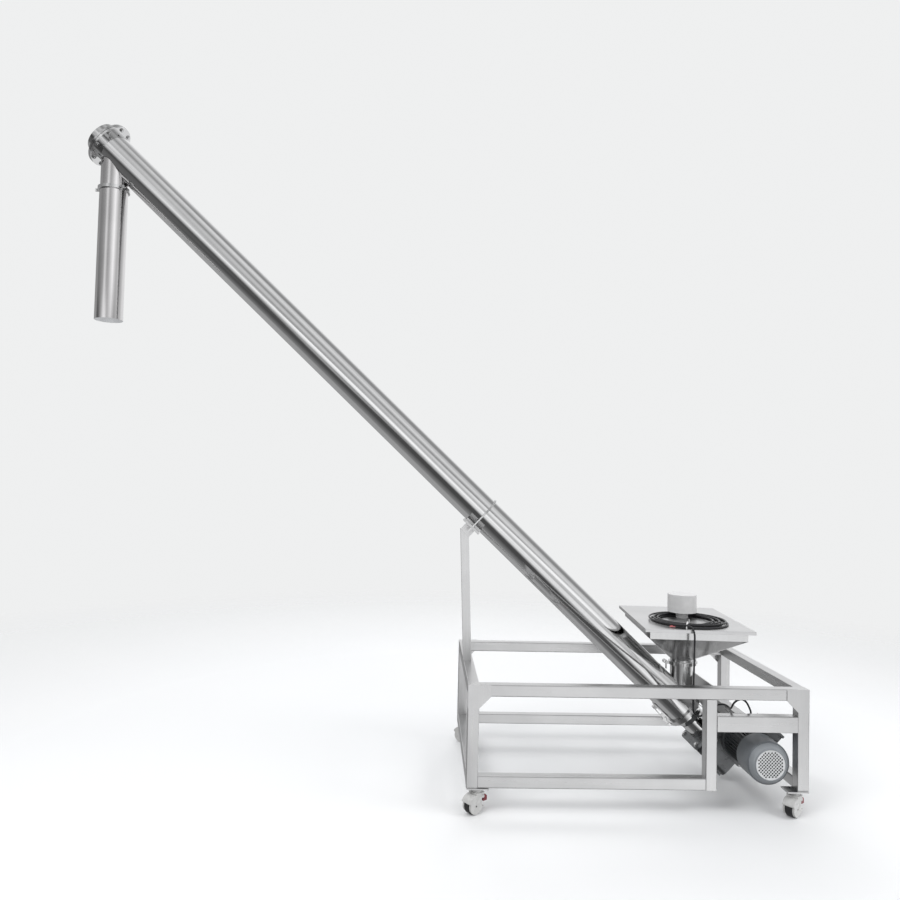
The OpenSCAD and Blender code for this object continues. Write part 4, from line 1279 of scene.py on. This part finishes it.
@dataclass
class Inlet(Assembly):
    """Neck, neck clamp, hopper, lid and the white cap."""

    def build(self) -> None:
        """Makes the inlet's pieces."""
        for node, mat, bevel in (("inlet_neck", self.f.sheet, 0.0), ("neck_clamp", self.f.fitting, 1.0),
                                 ("hopper", self.f.sheet, 1.0), ("hopper_lid", self.f.lid, 1.2),
                                 ("white_cap", self.f.white, 1.5)):
            self.dress(node, mat, bevel=bevel)
        log.info("inlet: neck, hopper, lid and cap")


@dataclass
class LowerEnd(Assembly):
    """Clamp ring, dished cover, lantern and toggle latch at the casing's lower end."""

    def build(self) -> None:
        """Makes the pieces between casing and gearbox."""
        for node, mat, bevel in (("clamp_ring", self.f.fitting, 1.2), ("bottom_cover", self.f.casing, 0.0),
                                 ("lantern", self.f.casing, 0.8), ("latches", self.f.fitting, 0.8)):
            self.dress(node, mat, bevel=bevel)
        log.info("lower end: clamp, cover, lantern and latch")


@dataclass
class GearMotor(Assembly):
    """Worm gearbox, ribbed motor, fan cover, terminal box and gland."""

    motor_y: float = 117.0
    shield: float = 18.0
    body: float = 182.0
    cover: float = 98.0
    radius: float = 86.0
    cover_r: float = 95.0
    grille_r: float = 65.2

    def build(self) -> None:
        """Makes the drive's pieces."""
        self.dress("gearbox", self.f.cast, bevel=1.5)
        self.motor()
        self.fan_cover()
        self.dress("terminal_box", self.f.cast, bevel=4.0)
        self.dress("cable_gland", self.f.black)
        self.dress("fan", self.f.black, "rotor")
        self.dress("rotor_shaft", self.f.bolt, "rotor")
        flange = drive() @ Matrix.Translation((0, 0, self.motor_y * MM))
        self.bolted("gearbox_flange_bolts", inclined(-127.0), 4, 113.0, 9.0, 8.0, 45)
        self.bolted("motor_flange_bolts", flange, 4, 118.0, 8.5, 8.0, 45)
        log.info("drive: gearbox, motor, fan cover and box")

    def motor(self) -> None:
        """Makes the ribbed motor housing and its end shields."""
        low = self.motor_y
        core = Solid(drive())
        r = self.radius - 10
        core.turned([(12.2, low), (self.radius + 3, low), (self.radius + 4, low + 2), (self.radius + 4, low + 14),
                     (self.radius, low + 18), (r, low + 19), (r, low + 18 + self.body - 12),
                     (self.radius + 4, low + 18 + self.body - 10), (92.0, low + 18 + self.body - 9),
                     (92.0, low + 18 + self.body), (12.2, low + 18 + self.body), (12.2, low)], steps=96)
        core.block((r - 6, -42, low + 60), (self.radius + 1.8, 42, low + 156), 3.0)
        core.piece("motor_core", self.f.ribbed, ROOT, ("motor_body",))
        fins = cooling_fins()
        fins.use("motor_fins", drive() @ Matrix.Translation((0, 0, (low + 17) * MM)), self.f.ribbed, Count=36,
                 Inner=(r - 1) * MM, Outer=(self.radius - 1.6) * MM, Length=(self.body - 8) * MM, Thick=3.2 * MM)

    def fan_cover(self) -> None:
        """Makes the fan cover, its domed end, its pierced disc, and a black disc of painted shade inside it."""
        base = self.motor_y + self.shield + self.body - 14
        top = base + 14 + self.cover
        r = self.cover_r
        cup = Solid(drive())
        cup.turned([(r - 2.5, base), (r, base), (r, base + 1), (r, top - 6), (r - 1, top - 1), (r - 3.5, top + 1),
                    (r - 6, top + 0.4), (r - 8, top - 2), (r - 8, top - 6), (r - 2.5, top - 10), (r - 2.5, base)],
                   steps=128)
        cup.piece("fan_cover_cup", self.f.cover, ROOT, ("fan_cover",), 50.0)
        dome = Solid(drive())
        outer = [(r - 5.2, top - 1.5)]
        for k in range(1, 13):
            t = k / 12
            outer.append((r - 5.2 - (r - 5.2 - 70) * t, top - 1.5 + 20.5 * math.sin(t * math.pi / 2)))
        lip = [(68.8, top + 22.5), (67.4, top + 24.5), (66.2, top + 24.9), (64.9, top + 23.4), (64.5, top + 20.5)]
        inside = [(65.5, top + 17), (r - 14, top + 8), (r - 8, top - 3.5), (r - 5.2, top - 1.5)]
        dome.turned(outer + lip + inside, steps=128)
        dome.piece("fan_cover_dome", self.f.dome, ROOT, (), 60.0)
        # A black disc inside the cup is painted shade: it darkens the grille's holes where there is only shade.
        shade = Solid(drive())
        shade.turned([(0.1, top + 6), (r - 14, top + 6), (r - 14, top + 7), (0.1, top + 7), (0.1, top + 6)], steps=48)
        shade.piece("fan_cover_painted_shade", self.f.black, ROOT, ())
        disc = pierced_disc()
        disc.use("fan_cover_grille", drive() @ Matrix.Translation((0, 0, (top + 21.6) * MM)), self.f.grille,
                 Radius=self.grille_r * MM, Thick=2.4 * MM, Hole=4.1 * MM, Pitch=10.4 * MM, Field=58.0 * MM)


@dataclass
class Casters(Assembly):
    """The four braked swivel casters."""

    def build(self) -> None:
        """Makes the casters' pieces."""
        for corner in CORNERS:
            self.dress(f"caster_{corner}", self.f.hood, f"swivel_{corner}", 1.6)
            self.dress(f"wheel_{corner}", self.f.tread, f"roller_{corner}")
            self.dress(f"pedal_{corner}", self.f.pedal, f"brake_{corner}", 1.2)
        log.info("casters: 4")


def main() -> None:
    """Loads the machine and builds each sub-assembly."""
    logging.basicConfig(level=logging.INFO, format="%(message)s")
    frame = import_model()
    Studio().build()
    finishes = Finishes()
    Cable().build(finishes)
    bolts = bolt_ring()
    for assembly in (FrameWork, Conveyor, Inlet, LowerEnd, GearMotor, Casters):
        assembly(frame, finishes, bolts).build()


if __name__ == "__main__":
    main()
